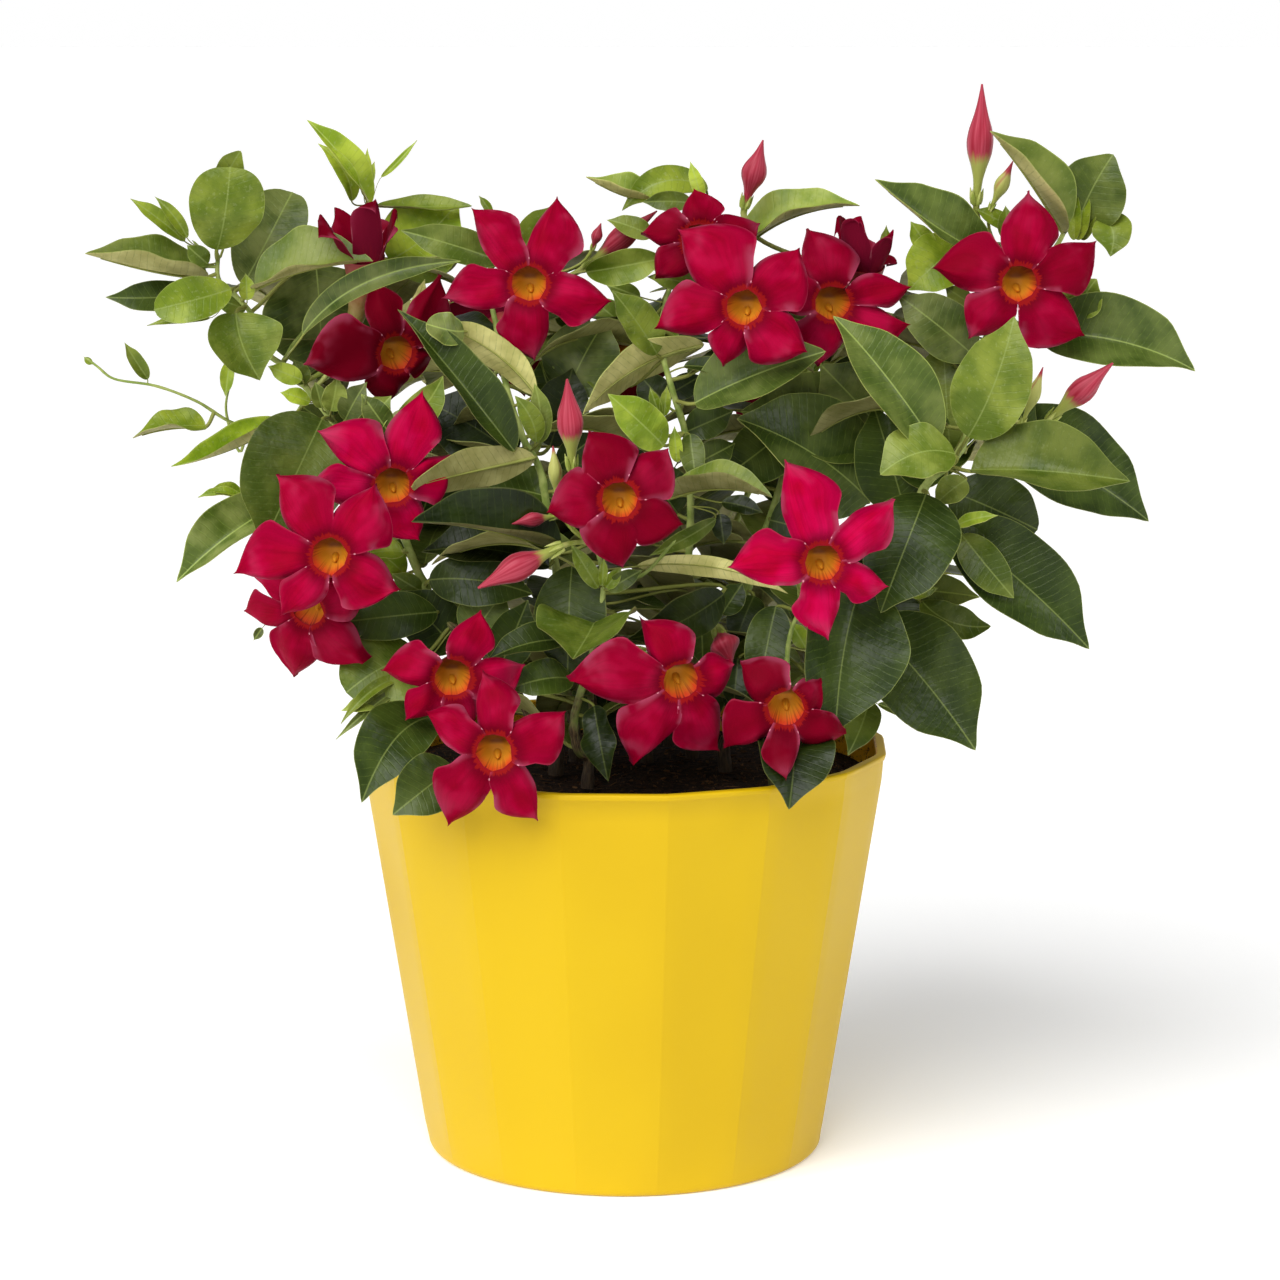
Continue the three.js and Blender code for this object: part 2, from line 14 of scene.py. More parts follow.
import bpy
import numpy as np
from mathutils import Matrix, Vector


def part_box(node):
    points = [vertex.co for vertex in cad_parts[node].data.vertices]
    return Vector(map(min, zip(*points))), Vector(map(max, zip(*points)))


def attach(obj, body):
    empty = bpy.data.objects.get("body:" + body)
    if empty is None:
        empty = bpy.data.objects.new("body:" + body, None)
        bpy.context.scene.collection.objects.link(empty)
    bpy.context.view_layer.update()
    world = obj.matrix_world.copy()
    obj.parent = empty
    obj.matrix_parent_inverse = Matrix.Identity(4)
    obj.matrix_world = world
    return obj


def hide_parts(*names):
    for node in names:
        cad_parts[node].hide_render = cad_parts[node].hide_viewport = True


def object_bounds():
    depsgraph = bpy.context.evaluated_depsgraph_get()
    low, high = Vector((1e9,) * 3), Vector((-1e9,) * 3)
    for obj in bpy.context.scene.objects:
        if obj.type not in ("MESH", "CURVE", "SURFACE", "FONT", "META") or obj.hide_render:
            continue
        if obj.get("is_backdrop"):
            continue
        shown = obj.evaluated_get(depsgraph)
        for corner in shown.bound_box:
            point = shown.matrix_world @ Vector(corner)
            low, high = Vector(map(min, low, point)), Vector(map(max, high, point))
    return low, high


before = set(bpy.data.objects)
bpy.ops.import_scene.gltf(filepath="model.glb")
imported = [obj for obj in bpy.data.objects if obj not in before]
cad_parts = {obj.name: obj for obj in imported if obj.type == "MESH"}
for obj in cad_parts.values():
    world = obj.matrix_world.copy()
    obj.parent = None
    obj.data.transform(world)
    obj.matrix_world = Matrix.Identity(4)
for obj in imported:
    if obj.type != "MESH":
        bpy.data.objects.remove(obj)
CAD_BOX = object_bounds()

log = logging.getLogger("mandevilla")

MM = 0.001
Array = np.ndarray
Material = bpy.types.Material
Socket = bpy.types.NodeSocket
Spot = tuple[float, float, float]
Values = dict[str, Array | float]


# ---- names of the finishes


class Slot(Enum):
    """The record's material slots."""

    POT = "pot_plastic"
    SOIL = "potting_soil"
    VINE = "vine_stem"
    LEAF = "leaf_blade"
    PETAL = "petal"
    BUD = "flower_bud"


class Tissue(Enum):
    """The kinds of leaf: (youth from 0 dark to 1 lime, grey painted sheen from 0 to 1, lightness).
    Lightness scales the colour: below 1 it is painted shade on leaves deep in the plant, above 1
    painted light on lit and glossy ones.
    """

    # Dark leaves darkened by painted shade, for those deep in the plant.
    DEEP = (0.0, 0.0, 0.45)
    DARK = (0.0, 0.1, 0.9)
    # Dark leaves brightened by painted light, with some painted sheen.
    MATURE = (0.1, 0.35, 1.55)
    # In the kinds from here on, the grey is painted sheen, and a lightness above 1 is painted light.
    GREY = (0.1, 0.85, 1.2)
    SILVER = (0.05, 1.0, 1.8)
    RIPE = (0.3, 0.3, 0.95)
    OLIVE = (0.5, 0.55, 1.25)
    PALE = (0.6, 0.75, 1.9)
    YOUNG = (0.72, 0.25, 1.0)
    TENDER = (1.0, 0.05, 1.05)
    LIME = (1.0, 0.1, 1.8)


DEEP, DARK, MATURE, GREY, SILVER, RIPE, OLIVE, PALE, YOUNG, TENDER, LIME = Tissue


# ---- vectors and curves


def unit(vectors: Array) -> Array:
    """The vectors at length one."""
    return vectors / np.linalg.norm(vectors, axis=-1, keepdims=True)


def square_to(vectors: Array, direction: Array) -> Array:
    """The part of each vector that is square to a unit direction, at length one."""
    along = (vectors * direction).sum(-1, keepdims=True)
    return unit(vectors - along * direction)


def smooth(values: Array, low: float, high: float) -> Array:
    """0 below low and 1 above high, with 3t^2 - 2t^3 between them."""
    share = np.clip((np.asarray(values, float) - low) / (high - low), 0, 1)
    return share * share * (3 - 2 * share)


def turned(vectors: Array, axis: Array, angle: Array | float) -> Array:
    """Vectors turned about a unit axis by Rodrigues' formula.

    Args:
        vectors: One vector or rows of them.
        axis: The axis, or one a row.
        angle: Radians, anticlockwise as seen from its tip.

    Returns:
        The turned vectors.
    """
    angle = np.asarray(angle, float)[..., None]
    along = (vectors * axis).sum(-1, keepdims=True) * axis
    aside = np.cross(axis, vectors)
    return along + (vectors - along) * np.cos(angle) + aside * np.sin(angle)


def bezier(poles: Sequence[Array], shares: Array) -> Array:
    """Points on a Bezier curve: the sum of poles times Bernstein weights.

    Args:
        poles: Three or four points.
        shares: Where to read it, from 0 to 1.

    Returns:
        A point a share.
    """
    degree = len(poles) - 1
    order = np.arange(degree + 1)
    counts = np.array([math.comb(degree, int(k)) for k in order])
    t = np.asarray(shares, float)[:, None]
    weights = counts * t**order * (1 - t) ** (degree - order)
    return weights @ np.array(poles)


def through(points: Array, per_span: int = 12) -> Array:
    """A centripetal Catmull-Rom curve: cubic Hermite spans whose knots are apart by the square
    root of the distance, with the end points mirrored outwards.

    Args:
        points: What it passes through, in order.
        per_span: How many points a span is read at.

    Returns:
        The curve's points.
    """
    outer = np.vstack([2 * points[0] - points[1], points, 2 * points[-1] - points[-2]])
    p0, p1, p2, p3 = outer[:-3], outer[1:-2], outer[2:-1], outer[3:]
    d0, d1, d2 = (np.sqrt(np.linalg.norm(b - a, axis=1))[:, None] for a, b in ((p0, p1), (p1, p2), (p2, p3)))
    leave = ((p1 - p0) / d0 - (p2 - p0) / (d0 + d1) + (p2 - p1) / d1) * d1
    arrive = ((p2 - p1) / d1 - (p3 - p1) / (d1 + d2) + (p3 - p2) / d2) * d1
    t = np.linspace(0, 1, per_span, endpoint=False)[None, :, None]
    spans = [p[:, None, :] for p in (p1, leave, arrive, p2)]
    curve = (
        (2 * t**3 - 3 * t**2 + 1) * spans[0]
        + (t**3 - 2 * t**2 + t) * spans[1]
        + (t**3 - t**2) * spans[2]
        + (3 * t**2 - 2 * t**3) * spans[3]
    )
    return np.vstack([curve.reshape(-1, 3), points[-1:]])


def lengths(path: Array) -> Array:
    """The distance along a path at each of its points."""
    steps = np.linalg.norm(np.diff(path, axis=0), axis=1)
    return np.concatenate([[0.0], np.cumsum(steps)])


def resampled(path: Array, step: float) -> Array:
    """The path read again at even steps of about that length."""
    run = lengths(path)
    count = max(int(round(run[-1] / step)), 2) + 1
    marks = np.linspace(0, run[-1], count)
    return np.stack([np.interp(marks, run, path[:, k]) for k in range(3)], axis=1)


def tangents(path: Array) -> Array:
    """Unit tangents of a path by central differences."""
    return unit(np.gradient(path, axis=0))


def frames(path: Array, first: Array) -> tuple[Array, Array]:
    """Two directions square to a path at each point, carried along it without twist.

    Args:
        path: Its points.
        first: A rough sideways direction at the start.

    Returns:
        The sideways and upward directions, with sideways x upward along the path.
    """
    heading = tangents(path)
    sideways = np.empty_like(path)
    now = square_to(np.asarray(first, float), heading[0])
    for i, ahead in enumerate(heading):
        now = square_to(now, ahead)
        sideways[i] = now
    return sideways, np.cross(heading, sideways)


def rings(path: Array, sideways: Array, upward: Array, radii: Array, sides: int) -> Array:
    """Rings of points about a path: centre + radius (sideways cos a + upward sin a).

    Args:
        path: The centres.
        sideways: Where angle 0 points at each.
        upward: Where a quarter turn points.
        radii: One a centre, or one a centre and angle.
        sides: How many points a ring has.

    Returns:
        Rings by points by three.
    """
    angle = np.arange(sides) / sides * 2 * np.pi
    radii = np.asarray(radii, float)
    radii = radii[:, None] if radii.ndim == 1 else radii
    spread = sideways[:, None] * np.cos(angle)[:, None] + upward[:, None] * np.sin(angle)[:, None]
    return path[:, None] + spread * radii[..., None]


def tube(path: Array, first: Array, radii: Array, sides: int) -> Array:
    """Rings about a path without twist, whose angle 0 starts near a direction."""
    return rings(path, *frames(path, first), radii, sides)


def circle(sides: int) -> Values:
    """The values ring_x and ring_y of a ring: the cosine and sine of its angles."""
    angle = np.arange(sides) / sides * 2 * np.pi
    return {"ring_x": np.cos(angle)[None], "ring_y": np.sin(angle)[None]}


class Ripple:
    """A smooth random field: the mean of seeded plane waves."""

    def __init__(self, seed: int, wavelength: float, waves: int = 14) -> None:
        """Draws the waves.

        Args:
            seed: Makes the field the same on each run.
            wavelength: A wave's typical length, in metres.
            waves: How many there are.
        """
        rng = np.random.default_rng(seed)
        directions = unit(rng.normal(size=(waves, 3)))
        self.waves = directions * (2 * np.pi / (wavelength * rng.uniform(0.6, 1.7, (waves, 1))))
        self.phases = rng.uniform(0, 2 * np.pi, waves)

    def at(self, points: Array) -> Array:
        """The field at points, about -1 to 1."""
        return np.sin(points @ self.waves.T + self.phases).mean(-1) * 2.2


# ---- meshes


def placed(name: str, data: bpy.types.ID) -> bpy.types.Object:
    """A new object at the scene's origin."""
    made = bpy.data.objects.new(name, data)
    bpy.context.scene.collection.objects.link(made)
    return made


class Skin:
    """Grows one piece's mesh out of closed shells, each with values for its material."""

    SHARP = math.radians(58)

    def __init__(self) -> None:
        """Starts with nothing."""
        self.points: list[Array] = []
        self.faces: dict[int, list[Array]] = {4: [], 3: []}
        self.finishes: dict[int, list[Array]] = {4: [], 3: []}
        self.values: list[tuple[int, Values]] = []
        self.count = 0

    def loft(
        self,
        hoops: Array,
        start: Array | None = None,
        end: Array | None = None,
        finish: int | Sequence[int] = 0,
        **values: Array | float,
    ) -> None:
        """Adds a closed shell through rings, with a fan of faces at each end.

        Args:
            hoops: Rings by points by three.
            start: The pole before the first ring, if not its middle.
            end: The pole after the last ring, if not its middle.
            finish: Which of the materials it takes, or which each band does.
            **values: Numbers for the material: one, one a ring, or one a point.
        """
        stations, sides = hoops.shape[:2]
        start = hoops[0].mean(0) if start is None else start
        end = hoops[-1].mean(0) if end is None else end
        points = np.vstack([hoops.reshape(-1, 3), start, end])
        first, last = stations * sides, stations * sides + 1
        here = np.arange(stations * sides).reshape(stations, sides)
        beside = np.roll(here, -1, axis=1)
        quads = np.stack([here[:-1], beside[:-1], beside[1:], here[1:]], -1).reshape(-1, 4)
        front = np.stack([np.full(sides, first), beside[0], here[0]], -1)
        back = np.stack([np.full(sides, last), here[-1], beside[-1]], -1)
        triangles = np.vstack([front, back])
        halves = np.vstack([triangles, quads[:, [0, 1, 2]], quads[:, [0, 2, 3]]])
        a, b, c = (points[halves[:, k]] - points[0] for k in range(3))
        if np.einsum("ij,ij->", a, np.cross(b, c)) < 0:
            quads, triangles = quads[:, ::-1], triangles[:, ::-1]
        spread: Values = {}
        for name, value in values.items():
            value = np.asarray(value, float)
            value = value[:, None] if value.ndim == 1 else value
            full = np.broadcast_to(value, (stations, sides))
            spread[name] = np.concatenate([full.ravel(), [full[0].mean(), full[-1].mean()]])
        bands = np.broadcast_to(finish, stations - 1)
        caps = np.repeat([bands[0], bands[-1]], sides)
        self.add(points, quads, triangles, (np.repeat(bands, sides), caps), spread)

    def add(
        self, points: Array, quads: Array, triangles: Array, finishes: tuple[Array, Array], values: Values
    ) -> None:
        """Adds faces that point outwards.

        Args:
            points: Their points.
            quads: Rows of four indices into them.
            triangles: Rows of three.
            finishes: Which material each row of both takes.
            values: A number a point for each name.
        """
        self.points.append(points)
        for corners, faces, finish in zip((4, 3), (quads, triangles), finishes):
            self.faces[corners].append(faces + self.count)
            self.finishes[corners].append(finish)
        self.values.append((len(points), values))
        self.count += len(points)

    def piece(
        self, name: str, materials: Sequence[Material], slot: Slot, replaces: Sequence[str] = ()
    ) -> bpy.types.Object:
        """Makes the piece, which rides on the plant's one body.

        Args:
            name: What it is called.
            materials: In the order of the finish numbers.
            slot: The record's slot for it; not used.
            replaces: The frame's nodes that it stands for.

        Returns:
            The new object, at the origin.
        """
        mesh = bpy.data.meshes.new(name)
        points = np.vstack(self.points)
        faces = [np.vstack(rows) for rows in self.faces.values()]
        corners = np.concatenate([rows.ravel() for rows in faces])
        sizes = np.repeat([4, 3], [len(rows) for rows in faces])
        mesh.vertices.add(len(points))
        mesh.vertices.foreach_set("co", points.astype(np.float32).ravel())
        mesh.loops.add(len(corners))
        mesh.loops.foreach_set("vertex_index", corners.astype(np.int32))
        mesh.polygons.add(len(sizes))
        mesh.polygons.foreach_set("loop_start", (np.cumsum(sizes) - sizes).astype(np.int32))
        finishes = np.concatenate(self.finishes[4] + self.finishes[3])
        mesh.polygons.foreach_set("material_index", finishes.astype(np.int32))
        mesh.update(calc_edges=True)
        mesh.polygons.foreach_set("use_smooth", np.ones(len(sizes), bool))
        mesh.set_sharp_from_angle(angle=self.SHARP)
        for key in sorted({key for _, row in self.values for key in row}):
            parts = [np.broadcast_to(row.get(key, 0.0), count) for count, row in self.values]
            attribute = mesh.attributes.new(key, "FLOAT", "POINT")
            attribute.data.foreach_set("value", np.concatenate(parts).astype(np.float32))
        for material in materials:
            mesh.materials.append(material)
        made = placed(name, mesh)
        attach(made, "root")
        if replaces:
            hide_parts(*replaces)
        log.info("%s: %d points, %d faces", name, len(points), len(sizes))
        return made


# ---- the front drawing


@dataclass(frozen=True)
class Drawing:
    """The front drawing that places the plant. An eye in front of the pot looks slightly down;
    a spot is (across, down, deep): squares from the sheet's top left corner, and millimetres
    behind the pot's axis."""

    eye_distance: float = 1.5768
    eye_height: float = 0.4869
    look_down: float = math.radians(9.39)
    squares_per_unit: float = 3641.7
    middle_across: float = 624.8
    middle_down: float = 640.0
    sheet: float = 1280.0

    @property
    def eye(self) -> Array:
        """Where the eye is."""
        return np.array([0.0, -self.eye_distance, self.eye_height])

    def place(self, spot: Spot) -> Array:
        """Turns a spot into metres.

        Args:
            spot: Across, down and deep.

        Returns:
            Where the sight line reaches that depth.
        """
        across, down, deep = spot
        right = (across - self.middle_across) / self.squares_per_unit
        up = (self.middle_down - down) / self.squares_per_unit
        forward = math.cos(self.look_down) + up * math.sin(self.look_down)
        rise = up * math.cos(self.look_down) - math.sin(self.look_down)
        reach = (deep * MM + self.eye_distance) / forward
        return np.array([right * reach, deep * MM, self.eye_height + rise * reach])

    def on_plane(self, spot: Sequence[float], point: Array, normal: Array) -> Array:
        """Where the sight line through a spot meets the plane through point with a normal."""
        sight = self.place((spot[0], spot[1], 0.0)) - self.eye
        reach = (point - self.eye) @ normal / (sight @ normal)
        return self.eye + sight * reach

    def seen_at(self, point: Array) -> Array:
        """The squares (across, down) at which a point is drawn."""
        x, y, z = point - self.eye
        depth = y * math.cos(self.look_down) - z * math.sin(self.look_down)
        up = z * math.cos(self.look_down) + y * math.sin(self.look_down)
        scale = self.squares_per_unit / depth
        return np.array([self.middle_across + x * scale, self.middle_down - up * scale])


DRAWING = Drawing()


# ---- layout


@dataclass(frozen=True)
class VineLine:
    """A stem: its root on the soil in mm or the stem that bears it, its radius in mm, and the
    spots that it passes through. A drawn stem without a node is in the foliage only."""

    name: str
    radius: float
    spots: tuple[Spot, ...]
    root: tuple[float, float] | None = None
    born_on: str | None = None
    woody: float = 0.0

    @property
    def key(self) -> str:
        """What leaves, flowers and buds call the stem that bears them."""
        return self.name.removeprefix("vine_")


VINES = (
    VineLine("vine_left", 2.6, (
        (541, 742, -24), (524, 704, -24), (486, 655, -24), (444, 618, -22), (421, 578, -18),
        (403, 535, -12), (368, 470, 0), (324, 410, 8), (290, 370, 12), (266, 352, 12),
        (254, 318, 12), (237, 297, 12), (219, 280, 12), (218, 252, 11)), root=(-30, -22), woody=0.5),
    VineLine("vine_middle_left", 2.4, (
        (566, 690, 2), (560, 600, -8), (548, 520, -22), (540, 470, -26), (524, 440, -24),
        (510, 400, -18), (503, 370, -8), (498, 335, 4), (490, 300, 14), (478, 262, 20),
        (466, 232, 22)), root=(-22, 8), woody=0.3),
    VineLine("vine_centre", 2.3, (
        (579, 752, -53), (574, 722, -56), (583, 685, -58), (594, 645, -60), (601, 612, -60),
        (603, 588, -60), (600, 560, -60), (592, 534, -58)), root=(-16, -50), woody=0.3),
    VineLine("vine_centre_high", 2.2, (
        (668, 650, 4), (688, 560, 0), (690, 480, -6), (685, 432, -10), (677, 405, -12),
        (668, 375, -12), (661, 345, -4), (664, 310, 14), (676, 270, 32), (692, 235, 42),
        (702, 200, 42)), root=(10, 6), woody=0.3),
    VineLine("vine_right_centre", 2.4, (
        (728, 650, 20), (756, 560, 22), (785, 470, 24), (802, 400, 26), (818, 345, 30),
        (835, 300, 44), (848, 262, 54)), root=(30, 16), woody=0.3),
    VineLine("vine_right", 2.6, (
        (756, 718, -18), (826, 660, -22), (878, 596, -28), (904, 545, -34), (917, 503, -38),
        (930, 480, -38), (950, 464, -34), (966, 438, -26), (976, 385, -12), (986, 338, -2),
        (1010, 300, 18), (1045, 262, 32), (1064, 232, 34), (1070, 200, 30)), root=(44, -14), woody=0.4),
    VineLine("vine_right_front", 2.0, (
        (788, 742, -50), (789, 700, -54), (787, 660, -54), (792, 628, -52), (806, 600, -46)),
        root=(64, -44), woody=0.1),
    VineLine("vine_back_left", 2.2, (
        (585, 660, 58), (552, 560, 84), (520, 460, 104), (492, 380, 112), (470, 320, 112)),
        root=(-14, 42), woody=0.3),
    VineLine("vine_back_right", 2.2, (
        (672, 660, 60), (720, 560, 88), (762, 460, 108), (800, 380, 116), (826, 310, 114)),
        root=(20, 44), woody=0.3),
    VineLine("twig_left", 0.85, (
        (282, 428, 20), (236, 424, 14), (196, 401, 8), (156, 386, 4), (112, 378, 2), (98, 367, 0),
        (85, 357, 0)), born_on="left"),
)

# Finer shoots, too thin for the frame.
SHOOTS = (
    VineLine("shoot_upper_left", 1.1, (
        (290, 350, 18), (303, 333, 22), (335, 300, 28), (355, 268, 32), (363, 235, 34),
        (368, 198, 34)), born_on="left"),
    VineLine("shoot_young_left", 0.8, (
        (206, 268, 10), (203, 252, 8), (192, 240, 6)), born_on="left"),
    VineLine("shoot_over_left", 0.8, (
        (240, 452, 22), (226, 410, 20), (233, 372, 18)), born_on="twig_left"),
    VineLine("shoot_young_right", 0.9, (
        (1078, 236, 14), (1080, 214, 12)), born_on="right"),
    VineLine("shoot_middle", 1.0, (
        (600, 340, 20), (585, 356, 14), (560, 372, 6), (552, 366, 2)), born_on="centre_high"),
    VineLine("shoot_whorl", 1.0, (
        (640, 576, -58), (676, 540, -54)), born_on="centre"),
)


@dataclass(frozen=True)
class LeafLine:
    """A leaf: its vine, the spots of its base and tip, and its width in mm. Roll turns the upper
    face from the eye about the leaf's length, anticlockwise as seen from the tip, in degrees.
    Arch bows the midrib, as a share of the length, fold raises both halves, in degrees, bend
    bows the midrib to the right of its heading, as a share of the length, blunt rounds the tip,
    from 0 to 1, and wave is how far the edge ripples, as a share of the width."""

    vine: str
    base: Spot
    tip: Spot
    width: float
    tissue: Tissue
    roll: float = 0.0
    arch: float = 0.06
    fold: float = 8.0
    bend: float = 0.0
    blunt: float = 0.0
    wave: float = 0.05


# The fields of the leaves that are nodes of the frame.
LEAVES = {
    "leaf_top_left_round": ("left", (217, 250, 2), (230, 166, -4), 32.5, YOUNG, 10, 0.11, 0, 0.01, 1),
    "leaf_top_left_grey": ("left", (243, 285, 18), (292, 187, 34), 29.7, GREY, -6, 0.06, 9, 0.02, 0.9),
    "leaf_far_left": ("left", (208, 276, 10), (89, 247, -12), 21, OLIVE, 68, 0.02, 47, -0.07, 0.1),
    "leaf_left_large": ("left", (316, 266, 30), (322, 382, 26), 54.1, SILVER, -9, -0.05, 6, -0.02),
    "leaf_left_low_grey": ("left", (276, 506, 4), (172, 578, -22), 22.5, SILVER, 30, 0.15, 39, -0.05),
    "leaf_left_front": ("left", (322, 419, -12), (262, 548, -38), 46.8, RIPE, -5, 0.1, 12, 0.01),
    "leaf_middle_dark": ("middle_left", (514, 451, -36), (401, 307, -34), 21.1, DARK, 35, 0.04, 38, -0.02),
    "leaf_middle_crossing": ("centre_high", (695, 403, -24), (825, 350, -34),
        29.3, MATURE, -30, 0.07, 24, 0.01, 0.2),
    "leaf_centre_large": ("right_centre", (870, 501, 6), (740, 416, -22),
        50.2, MATURE, 25, 0, 14, 0.05, 0.1),
    "leaf_right_upper": ("right", (992, 257, 8), (879, 177, -4), 24.8, MATURE, 44, 0.03, 37, -0.07),
    "leaf_right_glossy": ("right", (935, 445, -50), (839, 311, -52), 30.1, MATURE, 28, 0.06, 26, -0.02),
    "leaf_right_bright": ("right", (968, 437, -48), (1014, 316, -52), 32.6, YOUNG, -5, 0.07, 7, 0.05),
    "leaf_far_right": ("right", (1041, 334, 6), (1199, 366, -4), 33, MATURE, -22, 0.07, 38, -0.03),
    "leaf_right_side": ("right", (971, 470, -48), (1131, 475, -66), 34.1, RIPE, -40, 0.07, 38, 0.03),
    "leaf_right_behind": ("right", (991, 426, 4), (1155, 516, -6), 43, DARK, -25, 0.06, 23, 0.01),
    "leaf_right_front": ("right", (926, 494, -56), (879, 612, -78), 41.2, DARK, 16, 0.1, 3, -0.03),
    "leaf_right_lower": ("right", (953, 526, -34), (1094, 646, -48), 37.5, DARK, -18, 0.04, 20),
    "leaf_right_low": ("right", (870, 623, -44), (976, 748, -66), 44.2, DARK, -14, -0.02, 28, -0.03),
    "leaf_right_hanging": ("right", (861, 585, -61), (837, 729, -85), 46.9, DARK, -20, 0.09, 32, 0.07, 0.3),
    "leaf_over_rim_left": ("left", (436, 717, -65), (362, 802, -106), 28.4, DARK, 12, 0.14, 10, 0.09),
    "leaf_back_left": ("back_left", (470, 372, 122), (396, 300, 160), 40, DARK, 170, 0.1),
    "leaf_back_middle": ("back_left", (566, 520, 104), (606, 560, 158), 42, DARK, 168, 0.12),
    "leaf_back_right": ("back_right", (826, 380, 122), (900, 330, 164), 40, DARK, 190, 0.1),
}

# The fields of the other drawn leaves, by the piece that they belong to.
SPRAYS: dict[str, tuple[tuple, ...]] = {}
SPRAYS["foliage_top_left"] = (
    ("left", (225, 194, 12), (241, 151, 8), 12.6, YOUNG, 17, 0.12, 9, -0.12, 0.4),
    ("left", (255, 288, 4), (372, 258, -8), 32.2, OLIVE, -60, 0.11, 35, 0.05, 0.1),
    ("shoot_young_left", (185, 241, 6), (131, 198, 0), 7.6, TENDER, 19, 0.05, 19),
    ("shoot_young_left", (187, 238, 4), (155, 197, 2), 5.9, TENDER, 1, 0.02, 20, 0.06),
    ("left", (206, 293, 18), (106, 296, 8), 14.9, DARK, 27, 0.03, 12, -0.04),
    ("left", (231, 289, -2), (154, 309, -14), 19.6, TENDER, 12, 0.07, 11, -0.03, 0.8),
    ("left", (236, 313, 0), (261, 379, -6), 32.3, OLIVE, -13, 0.03, 34, 0.08),
    ("left", (210, 318, 2), (147, 323, -6), 4, TENDER, 20, 0.05, 20),
    ("left", (246, 309, 16), (215, 298, 12), 9, OLIVE),
    ("left", (247, 300, 0), (246, 274, -2), 7, TENDER, 0, 0.05, 20),
    ("left", (208, 264, 8), (187, 246, 4), 9, OLIVE),
)
SPRAYS["foliage_upper_left"] = (
    ("shoot_upper_left", (303, 334, -26), (460, 261, -40), 11.3, GREY, -12, 0.06, 35, -0.1, 0.2),
    ("shoot_upper_left", (370, 205, 26), (310, 118, 14), 13.8, LIME, 46, 0.09, 34, -0.02),
    ("shoot_upper_left", (352, 201, 22), (320, 143, 12), 8.6, LIME, 19, 0.06, 29, 0.09),
    ("shoot_upper_left", (381, 177, 30), (415, 140, 24), 3, LIME, -17, 0.04, 20, 0.05),
    ("shoot_upper_left", (364, 196, 28), (368, 149, 26), 5, LIME, 10, 0.02, 20),
    ("shoot_upper_left", (366, 192, 28), (374, 162, 26), 5, LIME, -20, 0.02, 20),
    ("shoot_upper_left", (377, 205, 34), (471, 204, 28), 11.4, YOUNG, -63, 0.02, 24, 0.04, 0.3),
    ("shoot_upper_left", (389, 260, 40), (457, 201, 36), 37.1, LIME, -8, 0.1, 9, 0.08),
    ("middle_left", (499, 261, 8), (400, 230, -2), 16, OLIVE, 15, 0.1, 22, -0.01),
    ("middle_left", (411, 309, 10), (426, 280, 10), 6.5, PALE, 140, 0.06, 10),
    ("middle_left", (522, 250, 16), (552, 206, 12), 14, YOUNG, 0, 0.06, 10),
    ("middle_left", (492, 214, 20), (480, 196, 18), 4, TENDER, 20, 0.02, 10),
)
SPRAYS["foliage_left"] = (
    ("twig_left", (206, 426, 8), (132, 434, 0), 21.3, TENDER, 65, 0.11, 25, -0.06),
    ("left", (283, 421, 4), (170, 463, -8), 9.9, LIME, 50, 0.09, 61, -0.13),
    ("shoot_over_left", (229, 361, 18), (225, 396, 16), 6.3, LIME, 10, 0.04, 16, -0.02),
    ("twig_left", (148, 379, 4), (125, 343, 0), 6.6, YOUNG, 9, 0.04, 24, -0.02),
    ("twig_left", (92, 364, 0), (84, 357, 0), 3, TENDER, 0, 0.02, 10),
    ("left", (242, 494, 4), (210, 489, 0), 7, LIME, 40, 0.05, 34),
    ("left", (240, 496, 2), (198, 494, -2), 6, LIME, 50, 0.05, 34),
    ("left", (322, 408, -2), (315, 382, -4), 7, OLIVE, 0, 0.05, 12),
    ("left", (331, 411, -4), (338, 378, -8), 11, PALE, 10, 0.05, 12),
    ("left", (345, 420, -4), (365, 382, -8), 12, GREY, -10, 0.05, 12),
    ("left", (362, 430, -2), (390, 396, -6), 14, PALE, -14, 0.05, 12),
    ("left", (310, 402, 4), (281, 392, 0), 8, LIME, 30, 0.05, 12),
    ("left", (405, 575, -14), (352, 535, -22), 17, LIME, 30, 0.08, 12),
    ("left", (402, 552, -20), (357, 556, -30), 12, LIME, 40, 0.08, 26),
    ("left", (372, 470, 26), (300, 402, 30), 34, GREY, 20, 0.08),
    ("left", (420, 520, 22), (440, 450, 20), 30, DARK, 10, 0.08),
    ("left", (302, 380, 4), (268, 366, 2), 9, LIME),
    ("left", (304, 384, 8), (294, 360, 6), 9, RIPE),
    ("left", (390, 434, -6), (362, 394, -10), 12, SILVER),
)
